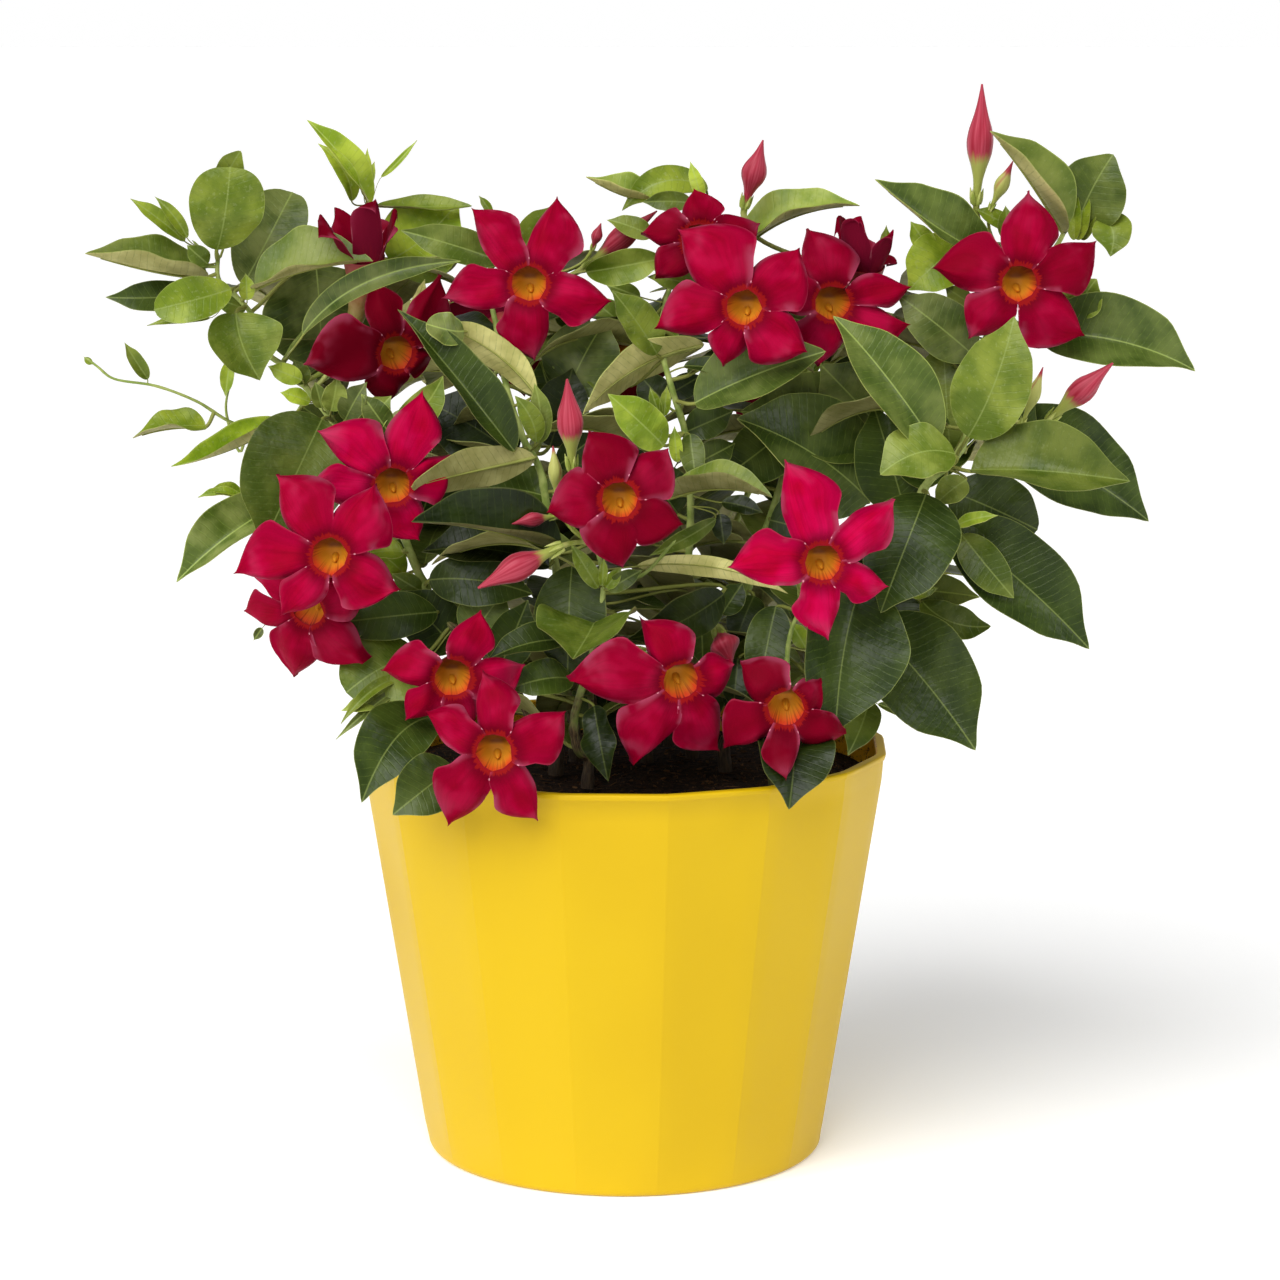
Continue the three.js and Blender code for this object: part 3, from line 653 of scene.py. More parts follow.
SPRAYS["foliage_centre_left"] = (
    ("middle_left", (536, 394, -26), (431, 320, -30), 16.3, PALE, 149, 0.12, 11, 0.02),
    ("middle_left", (550, 446, -6), (573, 366, -2), 24, DEEP, 8, 0.08),
    ("middle_left", (516, 456, 4), (424, 398, 8), 34, DEEP, 16, 0.08),
    ("middle_left", (566, 396, 2), (606, 316, 8), 34, SILVER, -16, 0.08),
    ("centre_high", (622, 384, 0), (584, 356, 6), 18, YOUNG, 10, 0.08),
    ("left", (455, 648, -22), (398, 590, -26), 26, DARK, 10, 0.08),
    ("centre", (500, 668, -36), (528, 600, -40), 20, DARK, 0, 0.08),
    ("left", (422, 592, -20), (392, 574, -24), 10, OLIVE),
    ("middle_left", (550, 394, 4), (540, 360, 6), 10, MATURE),
    ("middle_left", (558, 466, -4), (600, 432, -8), 14, DARK),
    ("middle_left", (539, 443, -34), (535, 384, -40), 9.7, OLIVE, 9, 0.06, 10, 0.05, 0.1),
    ("middle_left", (536, 442, -36), (515, 397, -42), 9.5, YOUNG, 2, 0.06, 12, 0.1, 0.1),
    ("middle_left", (535, 457, -34), (409, 483, -48), 20.3, OLIVE, 150, 0.09, 8, -0.05, 0.6),
    ("centre", (560, 553, -56), (412, 518, -72), 22.8, DEEP, 47, 0.12, 52, -0.04, 0.2),
    ("middle_left", (549, 566, -20), (421, 544, -28), 28, DEEP, 44, 0.08, 26),
    ("left", (429, 580, -28), (533, 592, -36), 23.7, DARK, -18, 0.07, 7, -0.03, 0.2),
    ("left", (437, 612, -28), (333, 622, -40), 21.5, DARK, 17, 0.08, 12, -0.02, 0.4),
    ("left", (420, 656, -34), (346, 691, -52), 35.5, OLIVE, 22, 0.08, 6, 0.04, 0.8),
    ("left", (406, 677, -40), (340, 721, -66), 5.7, YOUNG, 19, 0.11, 20, 0.05, 0.1),
    ("left", (403, 686, -44), (336, 738, -66), 4.6, GREY, 19, 0.08, 20),
    ("centre", (572, 566, -48), (568, 682, -62), 31, DARK, 10, 0.08, 10),
    ("middle_left", (556, 500, -18), (488, 486, -24), 26, MATURE, 30, 0.08),
    ("left", (470, 640, -30), (505, 590, -34), 24, MATURE, -10, 0.08),
    ("centre", (572, 679, -62), (508, 689, -80), 16.5, DARK, 20, 0.09, 10, 0.03),
    ("centre", (566, 640, -60), (486, 656, -74), 16, DARK, 40, 0.08, 26),
    ("left", (453, 767, -88), (393, 813, -112), 25.3, DARK, 8, 0.12, 8, -0.02, 0.1),
    ("left", (394, 428, -6), (443, 376, -10), 15, PALE, 0, 0.06, 12, 0.1),
    ("middle_left", (464, 331, -28), (428, 322, -38), 15, SILVER, 24, 0.1, 10, -0.1, 0.9),
    ("left", (262, 628, -34), (254, 640, -36), 4, GREY, 0, 0.02, 10),
    ("left", (384, 700, -50), (342, 710, -62), 8, PALE, 20, 0.08, 12),
)
SPRAYS["foliage_top"] = (
    ("centre_high", (661, 199, 30), (591, 172, 24), 15.3, PALE, 61, 0.07, 44, -0.17),
    ("centre_high", (708, 189, 32), (620, 209, 26), 14.6, TENDER, 24, 0.1, 15, 0.15),
    ("centre_high", (692, 203, 20), (642, 202, 16), 8.9, RIPE, 10, 0.08, 14, 0.01),
    ("centre_high", (702, 200, 24), (690, 162, 22), 6, LIME, 11, 0.06, 24),
    ("right_centre", (740, 249, 36), (859, 200, 30), 24.4, PALE, -63, 0.13, 33, 0.03),
    ("middle_left", (586, 272, 10), (662, 259, 4), 15.4, PALE, 18, 0.09, 24, -0.02, 0.6),
    ("centre_high", (652, 236, 24), (608, 218, 22), 10, OLIVE, 20, 0.06, 10),
    ("centre_high", (702, 288, 8), (648, 276, 4), 11, YOUNG, 30, 0.06, 10),
    ("centre_high", (657, 354, -14), (613, 290, -20), 17, YOUNG, 20, 0.06, 14),
    ("centre_high", (704, 344, -10), (577, 410, -22), 24, PALE, 128, 0.1, 10),
    ("centre_high", (664, 446, -22), (609, 394, -34), 18, LIME, 10, 0.06, 12),
    ("centre_high", (660, 416, -20), (650, 388, -22), 5, TENDER, 0, 0.04, 14),
    ("centre_high", (664, 416, -20), (667, 386, -22), 5, TENDER, 0, 0.04, 14),
    ("centre_high", (677, 462, -18), (674, 427, -20), 6, LIME, 0, 0.04, 14),
    ("centre_high", (690, 434, -14), (696, 482, -24), 11, RIPE, 0, 0.06, 12),
    ("centre_high", (684, 366, -16), (738, 374, -24), 9, DARK, -40, 0.06, 26),
    ("middle_left", (560, 300, 30), (590, 330, 24), 16, OLIVE, 0, 0.06, 10),
)
SPRAYS["foliage_centre"] = (
    ("centre_high", (686, 432, -4), (734, 411, -2), 15, DARK),
    ("centre_high", (696, 464, -4), (736, 443, 0), 13, MATURE),
    ("centre_high", (668, 406, 4), (638, 374, 8), 15, DARK),
    ("centre_high", (670, 394, 2), (702, 375, 4), 11, DEEP),
    ("middle_left", (622, 324, 22), (592, 299, 24), 11, PALE),
    ("centre_high", (640, 297, 18), (606, 284, 16), 8, PALE),
    ("right_centre", (884, 440, 16), (742, 408, 0), 42, MATURE, 24, 0.08),
    ("right_centre", (786, 430, 20), (724, 478, 6), 27, MATURE, -10),
    ("centre_high", (671, 497, -36), (772, 489, -56), 16.8, YOUNG, -75, 0.12, 49, 0.06, 0.2),
    ("centre_high", (722, 502, -16), (763, 512, -22), 9, DEEP, -30, 0.06, 10),
    ("centre_high", (720, 514, -14), (724, 544, -20), 9, DEEP, 0, 0.06, 10),
    ("centre", (637, 566, -56), (795, 588, -72), 9.3, PALE, -161, 0.07, 9, -0.04),
    ("centre_high", (716, 519, -20), (650, 556, -28), 8, OLIVE, -20, 0.08, 10),
    ("centre", (724, 594, -50), (630, 645, -58), 22, DEEP, -30, 0.08, 10),
    ("centre", (594, 623, -66), (573, 657, -98), 43.1, RIPE, 35, 0.03, 27, -0.03, 0, 0.08),
    ("centre", (598, 588, -64), (571, 545, -68), 8, YOUNG, 10, 0.05, 16),
    ("centre", (602, 586, -64), (604, 558, -66), 4, TENDER, 0, 0.05, 16),
    ("centre", (606, 588, -64), (621, 568, -66), 6, TENDER, 0, 0.05, 16),
    ("centre", (608, 590, -64), (642, 570, -68), 8, RIPE, -10, 0.05, 16),
    ("right_centre", (876, 424, 14), (820, 364, 10), 30, SILVER, 8, 0.08),
    ("centre", (594, 706, -66), (607, 781, -82), 14.4, DEEP, 22, 0.09, 16, -0.03, 0.1, 0.22),
    ("centre_high", (678, 514, 4), (640, 466, 0), 26, DARK, 10, 0.08),
    ("right_centre", (770, 520, 18), (835, 540, 8), 32, DARK, -10, 0.08),
    ("right_centre", (754, 596, 8), (734, 646, -8), 16, DEEP, 10, 0.08),
    ("centre", (722, 614, -20), (743, 582, -16), 12, DARK),
    ("right_front", (806, 648, -40), (791, 622, -44), 8, LIME),
    ("right_front", (738, 658, -40), (733, 712, -52), 12, DEEP, 0, 0.08),
    ("centre", (700, 606, -30), (704, 668, -36), 14, MATURE, 0, 0.08),
    ("right_front", (776, 606, -40), (758, 694, -56), 19, DARK, 6, 0.08),
    ("back_left", (578, 668, 60), (562, 738, 42), 32, DARK),
    ("back_left", (626, 664, 62), (624, 740, 44), 34, DEEP),
    ("back_right", (688, 662, 62), (696, 738, 44), 34, DARK),
    ("back_right", (752, 664, 60), (764, 736, 42), 32, DEEP),
)
SPRAYS["foliage_top_right"] = (
    ("right", (1063, 231, 8), (996, 128, -4), 21.1, OLIVE, 61, 0.1, 50, -0.08),
    ("right", (1075, 232, 12), (1113, 154, 6), 30.9, RIPE, 0, 0.08, 7, -0.04, 0.3),
    ("right", (1101, 219, 10), (1110, 256, 0), 17.4, YOUNG, -7, 0.13, 17, -0.18, 0.1),
    ("shoot_young_right", (1074, 240, 10), (1071, 182, 8), 7, TENDER, 10, 0.04, 26),
    ("shoot_young_right", (1078, 240, 10), (1086, 188, 8), 9, TENDER, -10, 0.04, 26),
    ("shoot_young_right", (1082, 240, 12), (1095, 202, 8), 8, YOUNG, -20, 0.04, 22),
    ("right", (958, 246, 18), (908, 290, 12), 26, LIME, 10, 0.1, 10),
    ("right", (1010, 228, 12), (976, 208, 8), 8, TENDER, 20, 0.06, 16),
    ("right", (1008, 240, 8), (1006, 206, 6), 8, YOUNG, 0, 0.06, 16),
    ("right", (974, 356, -6), (898, 294, -10), 25, GREY, 8, 0.08),
    ("right", (1073, 314, 2), (1096, 279, -4), 19.2, PALE, -4, 0.06, 7, -0.01, 0.1),
    ("right", (960, 330, -2), (948, 300, -4), 10, LIME, 0, 0.06, 10),
    ("right_centre", (884, 258, 20), (886, 226, 16), 5.4, TENDER, 1, 0.06, 14, 0.02),
)
SPRAYS["foliage_right"] = (
    ("right", (932, 252, 18), (911, 222, 14), 10, LIME),
    ("right", (970, 303, 10), (945, 287, 8), 9, OLIVE),
    ("right", (955, 454, -60), (879, 471, -72), 28, OLIVE, 34, 0.08, 7, 0.07, 0.2),
    ("right", (950, 452, 0), (942, 334, 4), 32, OLIVE, 0, 0.08),
    ("right", (906, 514, -10), (874, 404, -4), 30, DARK, 0, 0.08),
    ("right", (962, 535, -44), (1014, 598, -56), 16.9, RIPE, -2, 0.07, 10, 0.01, 0.2),
    ("right", (950, 491, -28), (1038, 530, -32), 32.5, DARK, -12, 0.07, 8, 0, 0.5),
    ("right", (956, 526, -46), (997, 515, -54), 6.3, LIME, -29, 0.06, 14, -0.02),
    ("right", (922, 601, -30), (991, 625, -38), 16.2, RIPE, -26, 0.06, 11, 0.16, 0.2),
    ("right", (912, 596, -28), (937, 588, -34), 6, YOUNG, -20, 0.04, 10),
    ("right", (868, 699, -52), (848, 754, -72), 14.6, RIPE, -2, 0.08, 7, -0.04),
    ("right", (878, 704, -36), (930, 727, -46), 5, SILVER, -20, 0.08, 22),
    ("right_front", (793, 734, -78), (790, 808, -116), 32.2, DEEP, -4, 0.17, 12, -0.01),
    ("right", (966, 480, -46), (934, 504, -52), 13, OLIVE, 20, 0.06, 10),
    ("right", (905, 590, -16), (980, 596, -24), 15, MATURE, -19, 0.08, 8, 0.01),
    ("right", (880, 590, -20), (900, 690, -30), 34, DARK, 0, 0.08),
    ("right", (976, 400, -2), (1040, 430, -8), 30, DARK, -10, 0.08),
)


@dataclass(frozen=True)
class FlowerLine:
    """A flower: its vine, the centre of its throat, how far its face turns to the right and
    tilts up, in degrees, its five lobe tips, its hue from 0 deep crimson to 1 magenta, and how
    deep the slits between its lobes are, from 0 to 1. A tip is (across, down) in the flower's
    own plane, or has its own depth."""

    name: str
    vine: str
    centre: Spot
    turn: float
    tilt: float
    tips: tuple[tuple[float, ...], ...]
    hue: float = 0.4
    slit: float = 0.3


FLOWERS = (
    FlowerLine("flower_upper_left", "middle_left", (529, 284, -28), 0, 6,
        ((470, 206), (557, 195), (612, 301), (534, 361), (441, 298)), 0.45, 0.8),
    FlowerLine("flower_far_right", "right", (1020, 283, -26), 4, 8,
        ((1033, 188), (1100, 239), (1087, 335), (971, 338), (936, 266)), 0.3, 0.2),
    FlowerLine("flower_upper_middle", "centre_high", (744, 307, -46), -8, 6,
        ((676, 228), (798, 247), (806, 352), (720, 366), (651, 328)), 0.45),
    FlowerLine("flower_upper_right", "right_centre", (833, 303, -20), 8, 8,
        ((812, 226), (914, 286), (913, 324), (823, 365), (772, 290)), 0.45, 0.15),
    FlowerLine("flower_top_middle", "centre_high", (700, 240, -10), 0, 16,
        ((694, 185), (761, 219), (740, 282), (655, 276), (641, 228)), 0.2),
    FlowerLine("flower_top_right", "right_centre", (864, 262, 6), 16, 70,
        ((838, 206, 0), (862, 202, -20), (895, 224, -10), (890, 240, 18), (852, 228, 26)), 0.2),
    FlowerLine("flower_left_shaded", "left", (397, 354, -4), 22, -4,
        ((306, 366), (380, 283), (446, 277), (438, 360), (394, 408)), 0.0, 0.6),
    FlowerLine("flower_top_left", "left", (364, 254, 4), 0, 72,
        ((317, 204, -16), (334, 204, 22), (370, 204, 30), (397, 197, 2), (375, 181, -20)), 0.0),
    FlowerLine("flower_left_high", "left", (393, 486, -48), 6, 4,
        ((317, 431), (424, 391), (452, 456), (420, 541), (308, 484)), 0.9, 0.3),
    FlowerLine("flower_left_outer", "left", (329, 556, -76), -8, 4,
        ((272, 475), (374, 484), (395, 592), (280, 616), (230, 575)), 0.5, 0.25),
    FlowerLine("flower_left_low", "left", (306, 610, -52), -26, -14,
        ((251, 580), (346, 578), (359, 667), (287, 683), (231, 620)), 0.4, 0.0),
    FlowerLine("flower_lower_left", "left", (453, 678, -92), 6, 6,
        ((482, 611), (527, 666), (470, 738), (406, 722), (382, 672)), 0.5, 0.5),
    FlowerLine("flower_over_rim", "left", (494, 753, -122), -4, 6,
        ((480, 672), (565, 712), (536, 823), (445, 829), (424, 712)), 0.35, 0.8),
    FlowerLine("flower_centre", "centre", (619, 500, -88), 0, 6,
        ((588, 430), (669, 448), (684, 525), (623, 569), (546, 513)), 0.2, 0.0),
    FlowerLine("flower_right_front", "right_front", (823, 563, -98), 6, 4,
        ((787, 460), (898, 500), (892, 588), (829, 641), (730, 569)), 1.0, 0.9),
    FlowerLine("flower_lower_middle", "centre", (682, 682, -98), 14, -6,
        ((650, 627), (738, 668), (726, 758), (637, 770), (574, 686)), 0.45, 0.2),
    FlowerLine("flower_lower_right", "right_front", (786, 709, -100), 0, -8,
        ((741, 670), (823, 687), (848, 741), (786, 782, -113), (724, 753)), 0.05),
)

# Flowers in the shade behind the front ones, and two guessed at the back.
BACK_FLOWERS = (
    FlowerLine("flower_shaded_middle", "centre_high", (628, 350, 24), -10, 10,
        ((598, 322), (652, 320), (668, 372), (634, 404), (567, 375)), 0.0),
    FlowerLine("flower_back_left", "back_left", (500, 330, 136), 200, 14,
        ((448, 282), (512, 258), (566, 326), (520, 392), (452, 376)), 0.35),
    FlowerLine("flower_back_right", "back_right", (790, 420, 140), 160, 10,
        ((736, 382), (800, 350), (852, 410), (826, 482), (752, 486)), 0.45),
)


@dataclass(frozen=True)
class BudLine:
    """A bud: its vine, the spots of its base and tip, its greatest radius in mm, and how far it
    has coloured, from 0 green to 1 red down to the neck."""

    name: str
    vine: str
    base: Spot
    tip: Spot
    radius: float
    ripe: float = 0.55


BUDS = (
    BudLine("bud_tallest", "right", (976, 204, 10), (982, 84, 2), 6.0, 0.6),
    BudLine("bud_top_middle", "right_centre", (744, 208, 30), (763, 140, 26), 5.5, 0.9),
    BudLine("bud_top_lying", "middle_left", (584, 268, 34), (657, 211, 28), 5.0, 0.7),
    BudLine("bud_centre", "centre", (572, 470, -66), (567, 379, -72), 5.8, 0.62),
    BudLine("bud_pointing_left", "centre", (562, 546, -74), (478, 588, -86), 6.2, 0.72),
    BudLine("bud_far_right", "right", (1048, 421, -18), (1113, 363, -30), 5.6, 0.6),
    BudLine("bud_hanging", "centre_high", (716, 627, -40), (732, 663, -48), 6.6, 0.8),
)

SMALL_BUDS = (
    BudLine("second_right", "right", (990, 210, 10), (1013, 161, 6), 3.2, 0.25),
    BudLine("brown_right", "right", (1022, 424, -20), (1043, 367, -28), 3.0, 0.15),
    BudLine("red_sliver", "middle_left", (592, 250, 30), (601, 223, 28), 2.6, 1.0),
    BudLine("pale_centre", "centre", (557, 502, -62), (553, 446, -66), 3.2, 0.1),
    BudLine("lying_centre", "centre", (556, 516, -60), (512, 524, -68), 3.2, 0.7),
    BudLine("speck_centre", "centre_high", (700, 618, -40), (722, 600, -42), 3.0, 0.1),
)


# ---- finishes


def linear(code: str) -> tuple[float, float, float, float]:
    """An sRGB hex colour such as #a01020 as linear red, green, blue and alpha."""
    parts = (int(code[i : i + 2], 16) / 255 for i in (1, 3, 5))
    red, green, blue = (c / 12.92 if c <= 0.04045 else ((c + 0.055) / 1.055) ** 2.4 for c in parts)
    return red, green, blue, 1.0


RGBA = {"data_type": "RGBA"}
STEP = {"interpolation_type": "SMOOTHSTEP"}
TIMES = {"operation": "MULTIPLY"}
TIMES_PLUS = {"operation": "MULTIPLY_ADD"}


class Paint:
    """A new material, whose nodes are added one at a time."""

    def __init__(self, name: str, values: str = "", **surface: object) -> None:
        """Starts a material.

        Args:
            name: What the finish is called.
            values: Names of the piece's own values, which own then holds.
            **surface: The shader's constant sockets, with _ for a space in their names.
        """
        self.material = bpy.data.materials.new(name)
        self.material.use_nodes = True
        self.tree = self.material.node_tree
        self.tree.nodes.clear()
        self.shader = self.tree.nodes.new("ShaderNodeBsdfPrincipled")
        output = self.tree.nodes.new("ShaderNodeOutputMaterial")
        self.tree.links.new(self.shader.outputs[0], output.inputs["Surface"])
        self.drive(**surface)
        self.place = self.add("TexCoord", out="Object")
        self.own = {value: self.add("Attribute", out=2, attribute_name=value) for value in values.split()}

    def feed(self, socket: Socket, value: object) -> None:
        """Links another node's output to a socket, or sets it to a number or a hex colour."""
        if isinstance(value, Socket):
            self.tree.links.new(value, socket)
        else:
            socket.default_value = linear(value) if isinstance(value, str) else value

    def add(self, kind: str, *values: object, out: int | str | None = None, **settings: object) -> Socket:
        """Adds a node with its settings and links.

        Args:
            kind: The node's type, without ShaderNode.
            *values: What feeds the sockets that it uses, in their order.
            out: Which output is handed back, if not the first one that it uses.
            **settings: Its own properties, and what feeds further sockets, whose names begin
                with a capital letter.

        Returns:
            The output socket.
        """
        node = self.tree.nodes.new("ShaderNode" + kind)
        for name in settings:
            if name[0].islower():
                setattr(node, name, settings[name])
        used = [socket for socket in node.inputs if socket.enabled]
        for socket, value in zip(used, values):
            self.feed(socket, value)
        for name in settings:
            if name[0].isupper():
                self.feed(node.inputs[name], settings[name])
        return next(socket for socket in node.outputs if socket.enabled) if out is None else node.outputs[out]

    def layered(self, colour: object, *layers: tuple) -> Socket:
        """Lays tints over a colour, one after the other.

        Args:
            colour: The lowest colour.
            *layers: A tint and what covers it: shares, or values with the range to read them
                over and the shares at its ends. The product of them all is how far it covers.

        Returns:
            The colour on top.
        """
        for tint, *covers in layers:
            covers = [self.add("MapRange", *c, **STEP) if isinstance(c, tuple) else c for c in covers]
            share = covers[0]
            for cover in covers[1:]:
                share = self.add("Math", share, cover, **TIMES)
            colour = self.add("Mix", share, colour, tint, **RGBA)
        return colour

    def drive(self, **links: object) -> Material:
        """Feeds sockets of the shader, with _ for a space in their names."""
        for name, value in links.items():
            self.feed(self.shader.inputs[name.replace("_", " ")], value)
        return self.material


@dataclass(frozen=True)
class LeafTissue:
    """Living mandevilla leaf: a waxed, leathery blade, dark green when old and lime when young,
    with fine side veins, a pale midrib and rim, and a matte olive underside. A grey painted sheen
    stands in for its reflection, and its lightness scales the colour as painted light and shade."""

    old: str = "#25350a"
    old_light: str = "#415418"
    young: str = "#5c7013"
    young_light: str = "#88962a"
    # Grey painted sheen, standing in for the blade's reflection.
    bloom: str = "#76784c"
    vein: str = "#5d6f28"
    midrib: str = "#808e48"
    rim: str = "#8a9448"
    under: str = "#827f48"
    under_light: str = "#a5a068"
    stalk: str = "#7f8638"
    scuff: str = "#b4b98a"
    vein_spacing: float = 3.1  # mm along the midrib
    vein_lean: float = 0.42  # how far a side vein runs forward for each mm outwards
    roughness: float = 0.36

    def material(self) -> Material:
        """The finish: veins follow the blade's own millimetres, blotches the plant's space."""
        values = "across along edge under youth bloom tone light stalk"
        paint = Paint("waxed_leaf", values, IOR=1.45, Specular_IOR_Level=0.27)
        add, own = paint.add, paint.own
        patches = add("TexNoise", paint.place, Scale=70, Detail=3)
        fine = add("TexNoise", paint.place, Scale=600, Detail=2)
        outward = add("Math", own["across"], operation="ABSOLUTE")
        lean = add("Math", outward, self.vein_lean, **TIMES)
        level = add("Math", own["along"], lean, operation="SUBTRACT")
        stray = add("Math", patches, 4, level, **TIMES_PLUS)
        count = add("Math", stray, self.vein_spacing, operation="DIVIDE")
        saw = add("Math", count, 0.5, operation="PINGPONG")
        vein = add("MapRange", saw, 0, 0.11, 1, 0, **STEP)
        blotch = add("MapRange", patches, 0.35, 0.7, **STEP)
        faint = add("MapRange", fine, 0.3, 0.7, 0.05, 0.4, **STEP)
        faint = add("Math", vein, faint, **TIMES)
        blade = paint.layered(
            self.old,
            (self.old_light, blotch, own["tone"]),
            (paint.layered(self.young, (self.young_light, blotch)), own["youth"]),
            # Painted sheen: grey over the blade in patches, as far as the leaf's bloom value goes.
            (self.bloom, (patches, 0.3, 0.75, 0.05, 0.55), own["bloom"]),
            (self.vein, faint),
            (self.midrib, (outward, 0.12, 0.5, 0.6, 0)),
            (self.rim, (own["edge"], 0.08, 0.42, 0.6, 0)),
        )
        below = paint.layered(self.under, (self.under_light, blotch), (self.old_light, faint))
        colour = paint.layered(blade, (below, own["under"]))
        # Painted light and shade: each leaf's lightness scales its colour.
        colour = add("VectorMath", colour, Scale=own["light"], operation="SCALE")
        scrape = (self.scuff, (fine, 0.6, 0.68, 0, 0.14), own["youth"])
        colour = paint.layered(colour, (self.stalk, own["stalk"]), scrape)
        rough = add("MapRange", own["under"], 0, 1, self.roughness, 0.62)
        swell = add("TexNoise", paint.place, Scale=190, Detail=2)
        grain = add("Math", vein, -0.1, swell, **TIMES_PLUS)
        relief = add("Bump", Height=grain, Strength=0.55, Distance=0.0011)
        return paint.drive(Base_Color=colour, Roughness=rough, Normal=relief)


@dataclass(frozen=True)
class PetalVelvet:
    """Mandevilla petal: papillae make it velvety, deep crimson face on, with magenta shoulders and
    pale flecks at the notches. Greyish pink painted sheen lies on its outer parts and edges,
    painted shade darkens the edges, and a maroon ring at the throat is partly its own darker red
    and partly painted shade."""

    deep: str = "#640014"
    crimson: str = "#a20026"
    magenta: str = "#ba0044"
    ring: str = "#52000f"
    rim: str = "#b03c58"
    back: str = "#70102a"
    # Greyish pink painted sheen.
    pink_painted_sheen: str = "#964058"
    fringe: str = "#94180f"
    fleck: str = "#e090a0"
    sheen: str = "#d8507c"
    throat: float = 9.0  # mm, radius of the throat

    def material(self) -> Material:
        """The finish: bands follow each petal's own millimetres."""
        paint = Paint(
            "velvet_petal", "across along reach under hue tone", IOR=1.4, Roughness=0.55,
            Specular_IOR_Level=0.03, Sheen_Weight=0.04, Sheen_Roughness=0.4, Sheen_Tint=self.sheen,
        )
        add, own = paint.add, paint.own
        cloud = add("TexNoise", paint.place, Scale=75, Detail=2)
        lines = add("CombineXYZ", own["across"], own["along"], own["tone"])
        lines = add("Mapping", lines, Scale=(9, 1.3, 40))
        streak = add("TexNoise", lines, Scale=1, Detail=3)
        side = add("Math", own["across"], operation="ABSOLUTE")
        flush = add("MapRange", cloud, 0.3, 0.7, **STEP)
        shoulder = add("MapRange", side, 0.25, 0.95, **STEP)
        flush = add("Math", flush, shoulder, operation="MAXIMUM")
        hairs = add("Math", streak, -6, own["reach"], **TIMES_PLUS)
        colour = paint.layered(
            self.deep,
            (self.crimson, own["hue"]),
            (self.magenta, flush, own["hue"]),
            # Painted shade: darker towards the lobe's edges, where it curves away.
            (self.deep, (side, 0.35, 0.98, 0, 0.5)),
            (self.deep, (streak, 0.35, 0.75, 0, 0.3)),
            # Painted sheen: greyish pink over the outer part of the lobe.
            (self.pink_painted_sheen, (cloud, 0.48, 0.68), (own["along"], 0.55, 1, 0.05, 0.6)),
            # The maroon ring at the throat: partly the petal's own darker red, partly painted shade in the
            # hollow there.
            (self.ring, (own["reach"], self.throat, self.throat * 1.8, 0.7, 0)),
            (self.fringe, (hairs, 6.6, 5.8, 0, 0.6)),
            # Painted sheen: greyish pink along the edges.
            (self.pink_painted_sheen, (cloud, 0.45, 0.6), (side, 0.72, 1, 0, 0.7)),
            (self.rim, add("MapRange", side, 0.95, 1, 0, 0.4)),
            (self.fleck, (side, 0.93, 0.99), (own["reach"], 11.6, 11.2), (own["reach"], 10.4, 10.8)),
            (self.back, add("Math", own["under"], 0.8, **TIMES)),
        )
        relief = add("Bump", Height=streak, Strength=0.25, Distance=0.0005)
        return paint.drive(Base_Color=colour, Normal=relief)


@dataclass(frozen=True)
class ThroatTissue:
    """The flower's funnel inside: satiny orange, golden deep down, with red-brown guide lines,
    painted shade on its upper wall, and a dark red mouth that is partly painted shade.
    """

    orange: str = "#c83818"
    gold: str = "#cf8a1c"
    line: str = "#8a1a0a"
    lip: str = "#6e0a14"
    shade: str = "#4a0810"

    def material(self) -> Material:
        """The finish: guide lines run down the funnel, read from a circle about it."""
        values = "ring_x ring_y along tone"
        paint = Paint("orange_throat", values, IOR=1.4, Roughness=0.55, Specular_IOR_Level=0.3)
        add, own = paint.add, paint.own
        circle = add("CombineXYZ", own["ring_x"], own["ring_y"], own["tone"])
        circle = add("Mapping", circle, Scale=(7, 7, 30))
        lines = add("TexNoise", circle, Scale=1, Detail=3)
        deep = add("Math", lines, 0.5, own["along"], **TIMES_PLUS)
        ragged = add("Math", lines, -0.7, own["along"], **TIMES_PLUS)
        colour = paint.layered(
            self.orange,
            (self.gold, (deep, 0.45, 1.1)),
            (self.line, (lines, 0.48, 0.62, 0, 0.7), (own["along"], 0.95, 0.45)),
            # The dark red mouth: partly its own colour, partly painted shade under the petals' collar.
            (self.lip, (ragged, -0.22, -0.04, 1, 0)),
            # Painted shade on the funnel's upper wall.
            (self.shade, (own["ring_y"], 0.1, -0.7, 0, 0.75)),
        )
        return paint.drive(Base_Color=colour)


@dataclass(frozen=True)
class GreenGrowth:
    """Flower tube, calyx, stalk and young stem: smooth green skin, flushed red or cream."""

    name: str = "green_growth"
    green: str = "#8da03f"
    pale: str = "#bcc272"
    flush: str = "#9a3a3c"
    roughness: float = 0.5

    def material(self) -> Material:
        """The finish: the flush attribute reddens it, and fine streaks run along it."""
        paint = Paint(self.name, "flush", IOR=1.42, Roughness=self.roughness, Specular_IOR_Level=0.35)
        add = paint.add
        flush = paint.own["flush"]
        cloud = add("TexNoise", paint.place, Scale=220, Detail=3)
        colour = paint.layered(self.green, (self.pale, (cloud, 0.35, 0.7)), (self.flush, flush))
        relief = add("Bump", Height=cloud, Strength=0.2, Distance=0.0003)
        return paint.drive(Base_Color=colour, Normal=relief)


